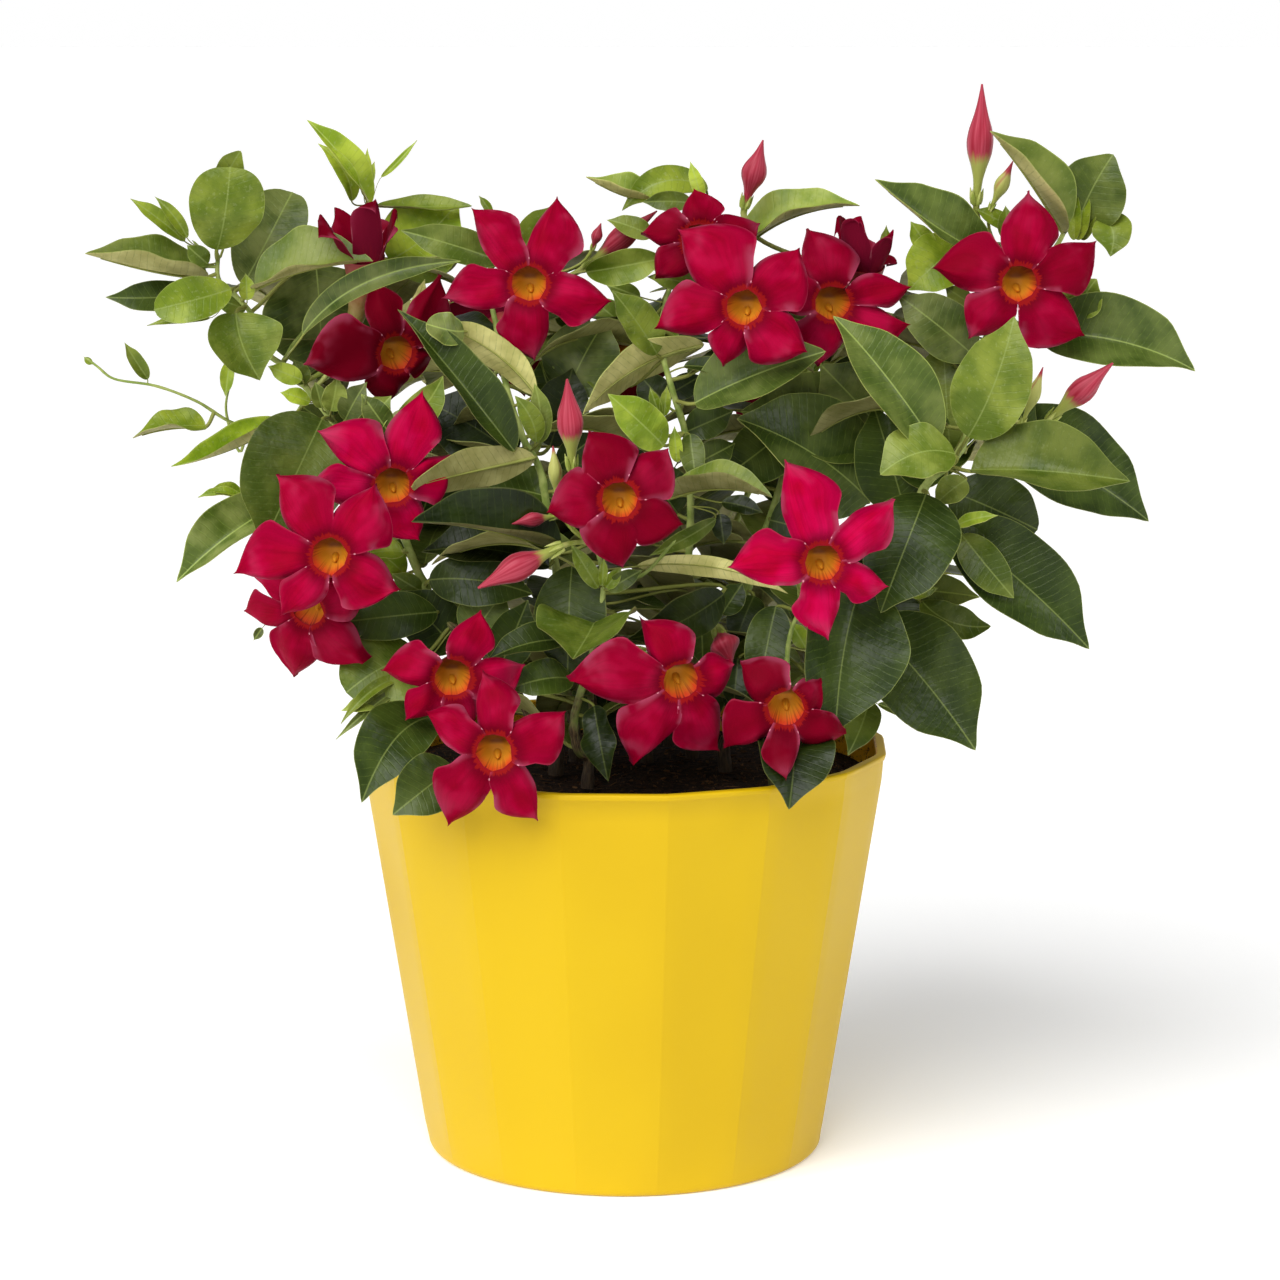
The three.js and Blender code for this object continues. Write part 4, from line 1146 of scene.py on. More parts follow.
@dataclass(frozen=True)
class StemBark:
    """Vine stem: green and smooth where young, and tan with peeling, lengthwise bark where old."""

    green: str = "#7d9040"
    light: str = "#a5b062"
    bark: str = "#86704c"
    crack: str = "#453726"
    dark_near_soil: str = "#2c2015"

    def material(self) -> Material:
        """The finish: the woody attribute takes it from green skin to bark."""
        values = "ring_x ring_y along woody"
        paint = Paint("vine_bark", values, IOR=1.45, Roughness=0.6, Specular_IOR_Level=0.35)
        add, own = paint.add, paint.own
        cloud = add("TexNoise", paint.place, Scale=160, Detail=3)
        grain = add("CombineXYZ", own["ring_x"], own["ring_y"], own["along"])
        grain = add("Mapping", grain, Scale=(3.2, 3.2, 0.16))
        grain = add("TexNoise", grain, Scale=1, Detail=4, Roughness=0.65)
        skin = paint.layered(self.green, (self.light, (cloud, 0.35, 0.65)))
        split = add("MapRange", grain, 0.4, 0.6, **STEP)
        bark = paint.layered(self.crack, (self.bark, split))
        worn = add("Math", cloud, 0.7, own["woody"], **TIMES_PLUS)
        worn = add("MapRange", worn, 0.6, 0.9, **STEP)
        level = add("SeparateXYZ", paint.place, out="Z")
        # Darker near the soil, below a level of about 0.2 m.
        colour = paint.layered(skin, (bark, worn), (self.dark_near_soil, (level, 0.172, 0.2, 0.85, 0)))
        height = add("Math", split, worn, **TIMES)
        relief = add("Bump", Height=height, Strength=0.6, Distance=0.0005)
        return paint.drive(Base_Color=colour, Normal=relief)


@dataclass(frozen=True)
class BudSkin:
    """A furled bud: satiny rose red with cream-green at the neck, streaked along the folds."""

    red: str = "#92142c"
    rose: str = "#ad3c4e"
    neck: str = "#b9b76a"
    green: str = "#8d973c"

    def material(self) -> Material:
        """The finish: red comes down to the level where the ripe attribute ends."""
        paint = Paint(
            "furled_bud", "ring_x ring_y along ripe fold", IOR=1.42, Roughness=0.48,
            Specular_IOR_Level=0.35, Sheen_Weight=0.2, Sheen_Roughness=0.4,
        )
        add, own = paint.add, paint.own
        stripes = add("CombineXYZ", own["ring_x"], own["ring_y"], own["along"])
        stripes = add("Mapping", stripes, Scale=(4.5, 4.5, 1.2))
        streak = add("TexNoise", stripes, Scale=1, Detail=2)
        red = paint.layered(self.red, (self.rose, (streak, 0.35, 0.65)))
        neck = paint.layered(self.green, (self.neck, own["along"]))
        level = add("Math", own["along"], own["ripe"], operation="ADD")
        ragged = add("Math", streak, 0.16, level, **TIMES_PLUS)
        dark = add("Math", own["fold"], 0.6, **TIMES)
        colour = paint.layered(neck, (red, (ragged, 1.02, 1.14)), (self.red, dark))
        relief = add("Bump", Height=streak, Strength=0.25, Distance=0.0004)
        return paint.drive(Base_Color=colour, Normal=relief)


@dataclass(frozen=True)
class MouldedPot:
    """Injection moulded polypropylene: satin sunflower yellow, faintly clouded, with soil dust
    on the inside of the lip, and an orange inner wall: partly soil staining and partly painted
    light that brightens it in its shade."""

    yellow: str = "#cdaa08"
    cloud: str = "#c5a006"
    # Soil-stained orange for the inner wall, brightened as painted light.
    inside: str = "#d39a18"
    dirt: str = "#4a2f14"

    def material(self) -> Material:
        """The finish: soft clouding over centimetres, a fine satin, and specks inside."""
        paint = Paint("moulded_polypropylene", "inner", IOR=1.49, Specular_IOR_Level=0.2)
        add = paint.add
        inner = paint.own["inner"]
        cloud = add("TexNoise", paint.place, Scale=11, Detail=1)
        satin = add("TexNoise", paint.place, Scale=1800, Detail=1)
        crumbs = add("TexNoise", paint.place, Scale=420, Detail=4, Roughness=0.7)
        colour = paint.layered(
            self.yellow,
            (self.cloud, (cloud, 0.4, 0.75, 0, 0.5)),
            # The inner wall's orange: soil staining and painted light that brightens it in its shade.
            (self.inside, inner),
            (self.dirt, (crumbs, 0.56, 0.62), inner),
        )
        rough = add("MapRange", cloud, 0.3, 0.7, 0.36, 0.46)
        relief = add("Bump", Height=satin, Strength=0.06, Distance=0.0002)
        return paint.drive(Base_Color=colour, Roughness=rough, Normal=relief)


@dataclass(frozen=True)
class PeatSoil:
    """Potting soil: moist, crumbly peat with fibres and bark, nearly black in its hollows, where
    the peat's own dark is deepened by painted shade.
    """

    dark: str = "#120b07"
    brown: str = "#48301e"
    fibre: str = "#7c5a3a"

    def material(self) -> Material:
        """The finish: crumbs of a few millimetres, with lighter fibres on them."""
        paint = Paint("moist_peat", "tone", IOR=1.4, Roughness=0.9, Specular_IOR_Level=0.2)
        add = paint.add
        tone = paint.own["tone"]
        crumbs = add("TexNoise", paint.place, Scale=380, Detail=6, Roughness=0.7)
        stretched = add("Mapping", paint.place, Scale=(1, 0.2, 1))
        hair = add("TexNoise", stretched, Scale=900, Detail=3)
        strand = add("MapRange", hair, 0.62, 0.7, 0, 0.5, **STEP)
        strand = add("Math", strand, tone, operation="MAXIMUM")
        # Painted shade: where the crumbs are low, in the bump's hollows, the colour stays nearly black.
        colour = paint.layered(self.dark, (self.brown, (crumbs, 0.4, 0.75)), (self.fibre, strand))
        relief = add("Bump", Height=crumbs, Strength=0.9, Distance=0.0015)
        return paint.drive(Base_Color=colour, Normal=relief)


@dataclass(frozen=True)
class PaleFloor:
    """The studio's floor: matt off-white, evenly lit."""

    white: str = "#fdfdfc"

    def material(self) -> Material:
        """The finish: a barely uneven white."""
        paint = Paint("pale_floor", Roughness=0.85, Specular_IOR_Level=0.1, Emission_Strength=0.2)
        add = paint.add
        cloud = add("TexNoise", paint.place, Scale=2, Detail=2)
        tone = add("Mix", cloud, self.white, "#fafaf9", **RGBA)
        return paint.drive(Base_Color=tone, Emission_Color=tone)


@dataclass(frozen=True)
class Finishes:
    """Every material of the plant, made once."""

    leaf: Material = field(default_factory=LeafTissue().material)
    petal: Material = field(default_factory=PetalVelvet().material)
    throat: Material = field(default_factory=ThroatTissue().material)
    growth: Material = field(default_factory=GreenGrowth().material)
    stem: Material = field(default_factory=StemBark().material)
    bud: Material = field(default_factory=BudSkin().material)
    pot: Material = field(default_factory=MouldedPot().material)
    soil: Material = field(default_factory=PeatSoil().material)


# ---- stems


@dataclass(frozen=True)
class Seat:
    """Where a stalk leaves a stem: the point on the stem's axis, and the way out of it."""

    start: Array
    outward: Array
    radius: float


@dataclass
class Stem:
    """A vine or shoot: a tapering tube with a swelling at each joint of the leaves.

    Attributes:
        line: The layout.
        path: The axis, at even steps.
        radii: The radius at each point of the axis.
    """

    line: VineLine
    path: Array
    radii: Array

    STEP = 1.6 * MM
    SIDES = 12
    JOINT = 26 * MM  # distance between swellings
    FREE = 14 * MM  # bare stretch above the root

    @classmethod
    def grown(cls, line: VineLine, stems: dict[str, "Stem"], soil_top: float) -> "Stem":
        """Lays out a stem from its root or from the stem that bears it.

        Args:
            line: The layout.
            stems: The stems so far.
            soil_top: The soil's level.

        Returns:
            The stem.
        """
        spots = np.array([DRAWING.place(spot) for spot in line.spots])
        if line.root:
            x, y = line.root[0] * MM, line.root[1] * MM
            start = np.array([[x, y, soil_top + 0.3 * MM], [x, y, soil_top + cls.FREE]])
        else:
            seat = stems[line.born_on].seat(spots[0])
            start = np.array([seat.start, seat.start + seat.outward * cls.FREE / 2])
        path = resampled(through(np.vstack([start, spots])), cls.STEP)
        run = lengths(path)
        share = run / run[-1]
        full = line.radius * MM
        taper = 0.98 - 0.6 * share if line.root else 1.0 - 0.4 * share
        swell = 1 + 0.16 * np.exp(-(((run + 9 * MM) % cls.JOINT - cls.JOINT / 2) / (2.2 * MM)) ** 2)
        foot = 0.25 * np.exp(-run / (7 * MM)) if line.root else 0.0
        end = np.sqrt(np.clip((run[-1] - run) / (full * 0.8), 0.02, 1))
        return cls(line, path, full * (taper * swell + foot) * end)

    def seat(self, target: Array) -> Seat:
        """The place on the stem that is nearest to a target, past the bare stretch."""
        free = lengths(self.path) > (self.FREE if self.line.root else 0.0)
        free[-2:] = False
        apart = np.linalg.norm(self.path - target, axis=1) + np.where(free, 0, 9.0)
        best = int(np.argmin(apart))
        along = tangents(self.path)[best]
        return Seat(self.path[best], square_to(target - self.path[best], along), self.radii[best])

    def add_to(self, skin: Skin) -> None:
        """Adds the tube, rounded off at its tip and bumpy where it is woody."""
        first = np.array([1.0, 0.15, 0.1])
        run = lengths(self.path)
        woody = np.clip(self.line.woody * 2.2 - run / (130 * MM), 0, 1) if self.line.root else run * 0
        seed = sum(map(ord, self.line.name))
        hoops = tube(self.path, first, self.radii, self.SIDES)
        rough = Ripple(seed, 6 * MM).at(hoops) * (0.05 + 0.16 * woody[:, None])
        hoops = tube(self.path, first, self.radii[:, None] * (1 + rough), self.SIDES)
        skin.loft(hoops, along=run / MM, woody=woody, **circle(self.SIDES))


def stalk_path(seat: Seat, end: Array, heading: Array, points: int) -> Array:
    """A cubic Bezier that leaves a stem squarely and arrives along a heading.

    Args:
        seat: Where it leaves.
        end: Where it arrives.
        heading: Its direction there.
        points: How many points it has.

    Returns:
        The points from the stem's axis on.
    """
    reach = np.linalg.norm(end - seat.start)
    poles = [seat.start, seat.start + seat.outward * reach * 0.3, end - heading * reach * 0.35, end]
    return bezier(poles, np.linspace(0, 1, points))


# ---- leaves


@dataclass
class Leaf:
    """One leaf: a thin closed blade and a stalk that runs on as the midrib underneath."""

    line: LeafLine
    seed: int = 0

    THICKNESS = 0.34 * MM
    STALK = 0.85 * MM
    STATIONS = 30
    COLUMNS = 13

    def outline(self, share: Array) -> Array:
        """The half width as a share of the greatest: t^a (1-t)^b, fullest at a/(a+b), whose last
        quarter is pinched into a drip tip. Both b and the pinch fall as the leaf gets blunter."""
        rise, fall = 0.6, 0.74 - 0.36 * self.line.blunt
        oval = np.clip(share, 0, 1) ** rise * np.clip(1 - share, 0, 1) ** fall
        fullest = rise / (rise + fall)
        pinch = 0.45 * (1 - self.line.blunt) * smooth(share, 0.74, 0.97)
        return oval / (fullest**rise * (1 - fullest) ** fall) * (1 - pinch)

    def add_to(self, skin: Skin, stem: Stem) -> None:
        """Adds the blade and the stalk.

        The blade's point at (u, v) is midrib(v) + u half(v) sideways + height(u, v) upwards,
        where height folds both halves up and ripples the edge, and the frame twists a little.

        Args:
            skin: The leaf's piece.
            stem: What bears it.
        """
        line, rng = self.line, np.random.default_rng(self.seed)
        foot, end = DRAWING.place(line.base), DRAWING.place(line.tip)
        length = float(np.linalg.norm(end - foot))
        heading = (end - foot) / length
        face = turned(square_to(DRAWING.eye - foot, heading), heading, math.radians(line.roll))
        crown = foot + (end - foot) * 0.45 + face * line.arch * length * 2
        crown += np.cross(heading, square_to(DRAWING.eye - foot, heading)) * line.bend * length * 2
        share = 0.5 - 0.5 * np.cos(np.linspace(0, np.pi, self.STATIONS))
        share = 0.6 * share + 0.4 * np.linspace(0, 1, self.STATIONS)
        rib = bezier([foot, crown, end], share)
        ahead = tangents(rib)
        sideways = square_to(np.cross(heading, face) * np.ones((self.STATIONS, 1)), ahead)
        sideways = turned(sideways, ahead, np.radians(rng.normal(0, 9)) * (share - 0.4) * 2)
        upward = np.cross(sideways, ahead)
        half = np.maximum(line.width / 2 * MM * self.outline(share), 0.12 * MM)
        across = np.linspace(-1, 1, self.COLUMNS)
        uneven = 1 + rng.normal(0, 0.04) * across
        side = np.abs(across)
        channel = math.tan(math.radians(line.fold)) * side**1.25
        phase = rng.uniform(0, 2 * np.pi, 2)
        cycles = rng.uniform(1.4, 2.4)
        edge = np.where(across < 0, 0, 1)
        ripple = np.sin(2 * np.pi * cycles * share[:, None] + phase[edge][None, :])
        ripple = ripple * (side**2) * line.wave * 2 * np.sin(np.pi * share)[:, None] ** 0.7
        height = half[:, None] * (channel[None, :] + ripple)
        curl = rng.uniform(0.02, 0.1) * length * share**3
        height = height - curl[:, None]
        spread = sideways[:, None] * (across * uneven * half[:, None])[..., None]
        top = rib[:, None] + spread + upward[:, None] * height[..., None]
        below = top - upward[:, None] * self.THICKNESS
        hoops = np.concatenate([top, below[:, ::-1]], axis=1)
        both = np.concatenate([across, across[::-1]])
        wide = half[:, None] / MM
        tip = top[-1].mean(0) + ahead[-1] * 0.4 * MM
        # The tissue gives youth, the grey painted sheen and the lightness that paints in light and shade.
        youth, bloom, light = line.tissue.value
        own = {
            "youth": np.clip(youth + rng.normal(0, 0.05), 0, 1),
            "bloom": np.clip(bloom + rng.normal(0, 0.08), 0, 1),
            "tone": rng.uniform(0.3, 1.0),
            "light": light,
        }
        skin.loft(
            hoops, end=tip, across=both * wide, edge=(1 - np.abs(both)) * wide, stalk=0.0,
            along=share * length / MM, under=np.repeat([0.0, 1.0], self.COLUMNS)[None], **own,
        )
        # The stalk runs from inside the stem to nine tenths of the midrib's underside.
        size = min(self.STALK, line.width * MM * 0.04)
        narrow = size * (1 - 0.82 * share)
        sunk = height[:, self.COLUMNS // 2] - self.THICKNESS - 0.7 * narrow
        keep = (share > 0.03) & (share < 0.9)
        under = (rib + upward * sunk[:, None])[keep]
        stalk = stalk_path(stem.seat(foot), under[0], ahead[0], 9)[:-1]
        path = np.vstack([stalk, under])
        radii = np.concatenate([np.linspace(size * 1.15, size, len(stalk)), narrow[keep]])
        hoops = tube(path, np.cross([0.1, 0.2, 1.0], tangents(path)[0]), radii, 7)
        skin.loft(hoops, stalk=0.8, under=1.0, edge=5.0, across=3.0, along=0.0, **own)


# ---- flowers


@dataclass(frozen=True)
class Calyx:
    """Five narrow pointed sepals about the end of a stalk. A foot is so far out, and a middle and
    a tip are so far ahead of the foot and further out, each as a share of the size."""

    size: float
    foot: float
    middle: tuple[float, float]
    tip: tuple[float, float]
    radii: tuple[float, ...]
    turn: float
    finish: int
    flush: float

    def add_to(self, skin: Skin, centre: Array, ahead: Array, sideways: Array, upward: Array) -> None:
        """Adds the sepals.

        Args:
            skin: The piece that they belong to.
            centre: The middle of the stalk at their feet.
            ahead: Where their tips point.
            sideways: A direction square to it.
            upward: The other one.
        """
        for k in range(5):
            angle = 2 * np.pi * k / 5 + self.turn
            out = sideways * math.cos(angle) + upward * math.sin(angle)
            foot = centre + out * self.size * self.foot
            poles = [foot + (ahead * far + out * wide) * self.size
                     for far, wide in ((0, 0), self.middle, self.tip)]
            path = bezier(poles, np.linspace(0, 1, 6))
            hoops = tube(path, np.cross(ahead, out), np.array(self.radii) * self.size, 6)
            skin.loft(hoops, finish=self.finish, flush=self.flush)


@dataclass
class Flower:
    """One flower: five velvety lobes in a pinwheel, a funnel with its anther cone, and the tube,
    calyx and stalk behind it.

    Attributes:
        line: The layout.
        seed: Makes its small differences the same on each run.
    """

    line: FlowerLine
    seed: int = 0
    shares: tuple[float, ...] = (0.0, 0.06, 0.14, 0.3, 0.44, 0.52, 0.58, 0.64, 0.72, 0.86, 1.0)
    tube: tuple[float, ...] = (9.3, 8.4, 7.0, 4.4, 2.9, 2.3, 2.7, 2.3, 1.3, 1.0, 1.05)

    CALYX = Calyx(MM, 2.0, (4, 0.6), (7.5, 2.2), (1.1, 1.25, 1.1, 0.8, 0.45, 0.12), 0.3, 2, 0.1)
    THROAT = 9 * MM
    PETAL = 0.4 * MM
    DROOP = 2.5 * MM
    STATIONS = 22
    COLUMNS = 15

    def __post_init__(self) -> None:
        """Works out the flower's own frame and where its lobes point."""
        line = self.line
        turn, tilt = math.radians(line.turn), math.radians(line.tilt)
        self.middle = DRAWING.place(line.centre)
        level = math.sin(turn) * math.cos(tilt), -math.cos(turn) * math.cos(tilt)
        self.face = np.array([*level, math.sin(tilt)])
        self.right = square_to(np.array([1.0, 0.0, 0.0]), self.face)
        self.down = np.cross(self.right, self.face)
        arms = []
        for tip in line.tips:
            point = DRAWING.place(tip) if len(tip) > 2 else DRAWING.on_plane(tip, self.middle, self.face)
            arm = point - self.middle
            x, y = arm @ self.right, arm @ self.down
            arms.append((math.atan2(y, x), math.hypot(x, y), arm @ self.face))
        self.arms = sorted(arms)

    def at(self, angle: Array, reach: Array, lift: Array) -> Array:
        """Points at an angle, clockwise from the right, a reach and a lift above the face."""
        aside = self.right * (reach * np.cos(angle))[..., None]
        aside = self.middle + aside + self.down * (reach * np.sin(angle))[..., None]
        return aside + self.face * np.asarray(lift)[..., None]

    def add_lobe(self, skin: Skin, index: int, rng: np.random.Generator) -> None:
        """Adds one lobe.

        It widens from the throat, rounds over a shoulder on its clockwise side and runs nearly
        straight on the other, so that its point is askew: in polar form its edges are at the
        tip's angle + share(t). It bends back towards edges and tip, and its clockwise edge lies
        over the next lobe.

        Args:
            skin: The flower's piece.
            index: Which lobe.
            rng: Its small differences.
        """
        angle, reach, lift = self.arms[index]
        ahead = (self.arms[(index + 1) % 5][0] - angle) % (2 * np.pi)
        behind = (angle - self.arms[index - 1][0]) % (2 * np.pi)
        t = np.linspace(0, 1, self.STATIONS) ** 0.9
        cut = (1 - 0.32 * self.line.slit * smooth(t, 0.08, 0.4)) * (1 - t**16)
        shoulder = (1 - smooth(t, 0.56, 1.03)) * rng.uniform(0.9, 1.02)
        straight = (1 - smooth(t, 0.2, 1.06)) * rng.uniform(0.94, 1.08)
        ahead_edge = shoulder * cut * min(ahead * 0.7, 1.0) + 0.012 * (1 - t)
        behind_edge = straight * cut * min(behind * 0.47, 0.66)
        s, v = np.linspace(-1, 1, self.COLUMNS)[None], t[:, None]
        sweep = np.where(s > 0, ahead_edge[:, None], behind_edge[:, None]) * s
        base = self.THROAT * 0.9
        out = base + (reach - base) * v * np.ones_like(s)
        cup = rng.uniform(-0.5, 1.6) * MM
        roll_back = rng.uniform(2.2, 5.2) * MM
        phase = rng.uniform(0, 2 * np.pi)
        mid = np.sin(np.pi * v)
        ripple = np.sin(7 * s + 11 * v + phase) * s**2 * v
        height = (
            lift * smooth(v, 0.0, 1.0)
            - self.DROOP * v ** 2.5 * rng.uniform(0.2, 4.2)
            - roll_back * np.abs(s) ** 2.2 * smooth(v, 0.15, 0.7)
            + cup * (1 - s**2) * mid
            + 0.75 * MM * s * np.minimum(v * 3, 1)
            + 1.1 * MM * np.sin(4 * s + 5 * v + phase) * mid
            + 1.3 * MM * ripple
            + rng.uniform(-3.0, 3.0) * MM * s * v ** 3
            - 1.5 * MM * (1 - np.minimum(v * 7, 1)) ** 2
        )
        front = self.at(angle + sweep, out, height)
        back = front - self.face * self.PETAL
        hoops = np.concatenate([front, back[:, ::-1]], axis=1)
        across = np.concatenate([s, s[:, ::-1]], axis=1)
        skin.loft(
            hoops, across=across, along=t, reach=np.concatenate([out, out[:, ::-1]], axis=1) / MM,
            under=np.repeat([0.0, 1.0], self.COLUMNS)[None],
            hue=np.clip(self.line.hue + rng.normal(0, 0.06), 0, 1), tone=rng.uniform(),
        )

    def add_funnel(self, skin: Skin, stem: Stem) -> None:
        """Adds the throat, as one closed wall with the tube and stalk, and the calyx.

        Args:
            skin: The flower's piece.
            stem: What bears it.
        """
        count = 30
        seat = stem.seat(self.middle - self.face * 45 * MM)
        poles = [self.middle - self.face * 1.4 * MM, self.middle - self.face * 30 * MM,
                 seat.start + seat.outward * 14 * MM, seat.start]
        fine = np.linspace(0, 1, 46)
        centres = bezier(poles, fine)
        radii = np.interp(fine, self.shares, self.tube) * MM
        sideways, upward = frames(centres, self.right)
        angle = np.arange(count) / count * 2 * np.pi
        corner = 1 + 0.035 * np.cos(5 * angle - 5 * self.arms[0][0] - 1.2)
        shaped = radii[:, None] * (1 + (corner - 1) * np.exp(-fine * 9)[:, None])
        outer = rings(centres, sideways, upward, shaped, count)
        depths = np.array([1.3, 1.8, 2.8, 4.6, 6.8, 9.0, 10.8, 11.8]) * MM
        widths = np.array([8.9, 8.6, 8.2, 7.4, 6.4, 5.2, 3.8, 2.2]) * MM
        lean = self.down * 2.4 * MM * (depths / depths[-1])[:, None] ** 1.5
        middles = self.middle - self.face * depths[:, None] - lean
        inner = rings(middles, sideways[:1], upward[:1], widths[:, None] * corner, count)
        flush = np.interp(fine, [0, 0.2, 0.42, 0.5, 1], [1.0, 0.75, 0.15, 0.0, 0.05])
        skin.loft(
            np.concatenate([inner[::-1], outer]),
            start=middles[-1],
            end=seat.start,
            finish=[1] * len(depths) + [2] * (len(fine) - 1),
            along=np.concatenate([depths[::-1] / depths[-1], fine * 0]),
            flush=np.concatenate([depths * 0, flush]),
            tone=np.random.default_rng(self.seed + 7).uniform(),
            **circle(count),
        )
        at = int(np.argmin(np.abs(fine - 0.6)))
        self.CALYX.add_to(skin, centres[at], -tangents(centres)[at], sideways[at], upward[at])

    def add_cone(self, skin: Skin) -> None:
        """Adds the pale anther cone deep in the throat."""
        share = np.linspace(0, 1, 7)
        aside = self.down * 2.0 * MM + self.right * 0.5 * MM
        path = self.middle - self.face * (12.5 * MM - 5.0 * MM * share[:, None])
        path = path + aside * (0.4 + share[:, None])
        radii = np.array([1.9, 1.9, 1.7, 1.5, 1.2, 0.8, 0.3]) * MM
        skin.loft(tube(path, self.right, radii, 10), finish=1, along=0.8, ring_y=0.5)

    def build(self, finishes: Finishes, stem: Stem, replaces: Sequence[str] = ()) -> None:
        """Builds the flower as one piece.

        Args:
            finishes: The plant's materials.
            stem: What bears it.
            replaces: The nodes that it stands for.
        """
        skin = Skin()
        rng = np.random.default_rng(self.seed)
        for index in range(5):
            self.add_lobe(skin, index, rng)
        self.add_funnel(skin, stem)
        self.add_cone(skin)
        skin.piece(
            self.line.name if not replaces else self.line.name + "_bloom",
            [finishes.petal, finishes.throat, finishes.growth], Slot.PETAL, replaces,
        )


# ---- buds


@dataclass
class Bud:
    """One furled bud: five petals wound round each other over a slim neck, on its own stalk."""

    line: BudLine
    seed: int = 0

    COUNT = 30
    STATIONS = 34

    def add_to(self, skin: Skin, stem: Stem) -> None:
        """Adds the bud, its calyx and its stalk.

        The radius at share v follows the furled profile, and above the neck two creases wind round
        it, with a faint ripple of five.

        Args:
            skin: The piece that it belongs to.
            stem: The stem that bears it.
        """
        line = self.line
        foot, end = DRAWING.place(line.base), DRAWING.place(line.tip)
        length = np.linalg.norm(end - foot)
        heading = (end - foot) / length
        share = np.linspace(0.0, 1.0, self.STATIONS)
        bow = square_to(np.array([0.3, -0.6, 0.5]), heading) * length * 0.035
        path = bezier([foot, (foot + end) / 2 + bow, end], share)
        profile = np.interp(share, [0, 0.1, 0.22, 0.32, 0.42, 0.53, 0.63, 0.73, 0.83, 0.92, 1.0],
                            [0.26, 0.28, 0.36, 0.58, 0.88, 1.0, 0.88, 0.6, 0.36, 0.2, 0.06])
        profile = np.convolve(np.pad(profile, 1, "edge"), [0.25, 0.5, 0.25], "valid")
        angle = np.arange(self.COUNT) / self.COUNT * 2 * np.pi
        wound = 2 * angle[None, :] - 4.2 * share[:, None] + self.seed
        crease = np.clip(np.cos(wound), 0, 1) ** 9
        step = 0.07 * np.cos(wound + 0.9) + 0.03 * np.cos(5 * angle[None, :] - 3 * share[:, None])
        furled = smooth(share, 0.28, 0.55)[:, None]
        radii = line.radius * MM * profile[:, None] * (1 + (step - 0.12 * crease) * furled)
        first = np.array([1.0, 0.2, 0.1])
        sideways, upward = frames(path, first)
        hoops = rings(path, sideways, upward, radii, self.COUNT)
        skin.loft(hoops, along=share, ripe=line.ripe, fold=crease * furled, **circle(self.COUNT))
        stalk = stalk_path(stem.seat(foot), foot + heading * 1.5 * MM, heading, 16)
        size = min(1.05, line.radius * 0.22) * MM
        swell = 1 + 0.5 * smooth(np.linspace(0, 1, 16), 0.75, 1.0)
        skin.loft(tube(stalk, first, size * swell, 8), finish=1, flush=0.1)
        slim = (0.16, 0.18, 0.16, 0.12, 0.07, 0.02)
        calyx = Calyx(line.radius * MM, 0.24, (0.6, 0.16), (1.15, 0.26), slim, 0.0, 1, 0.05)
        calyx.add_to(skin, foot, heading, sideways[0], upward[0])


# ---- pot and soil


def arc(middle: float, level: float, radius: float, angles: Array) -> list[tuple[float, float]]:
    """Points at angles on a circle, anticlockwise from the right."""
    return [(middle + radius * math.cos(a), level + radius * math.sin(a)) for a in angles]


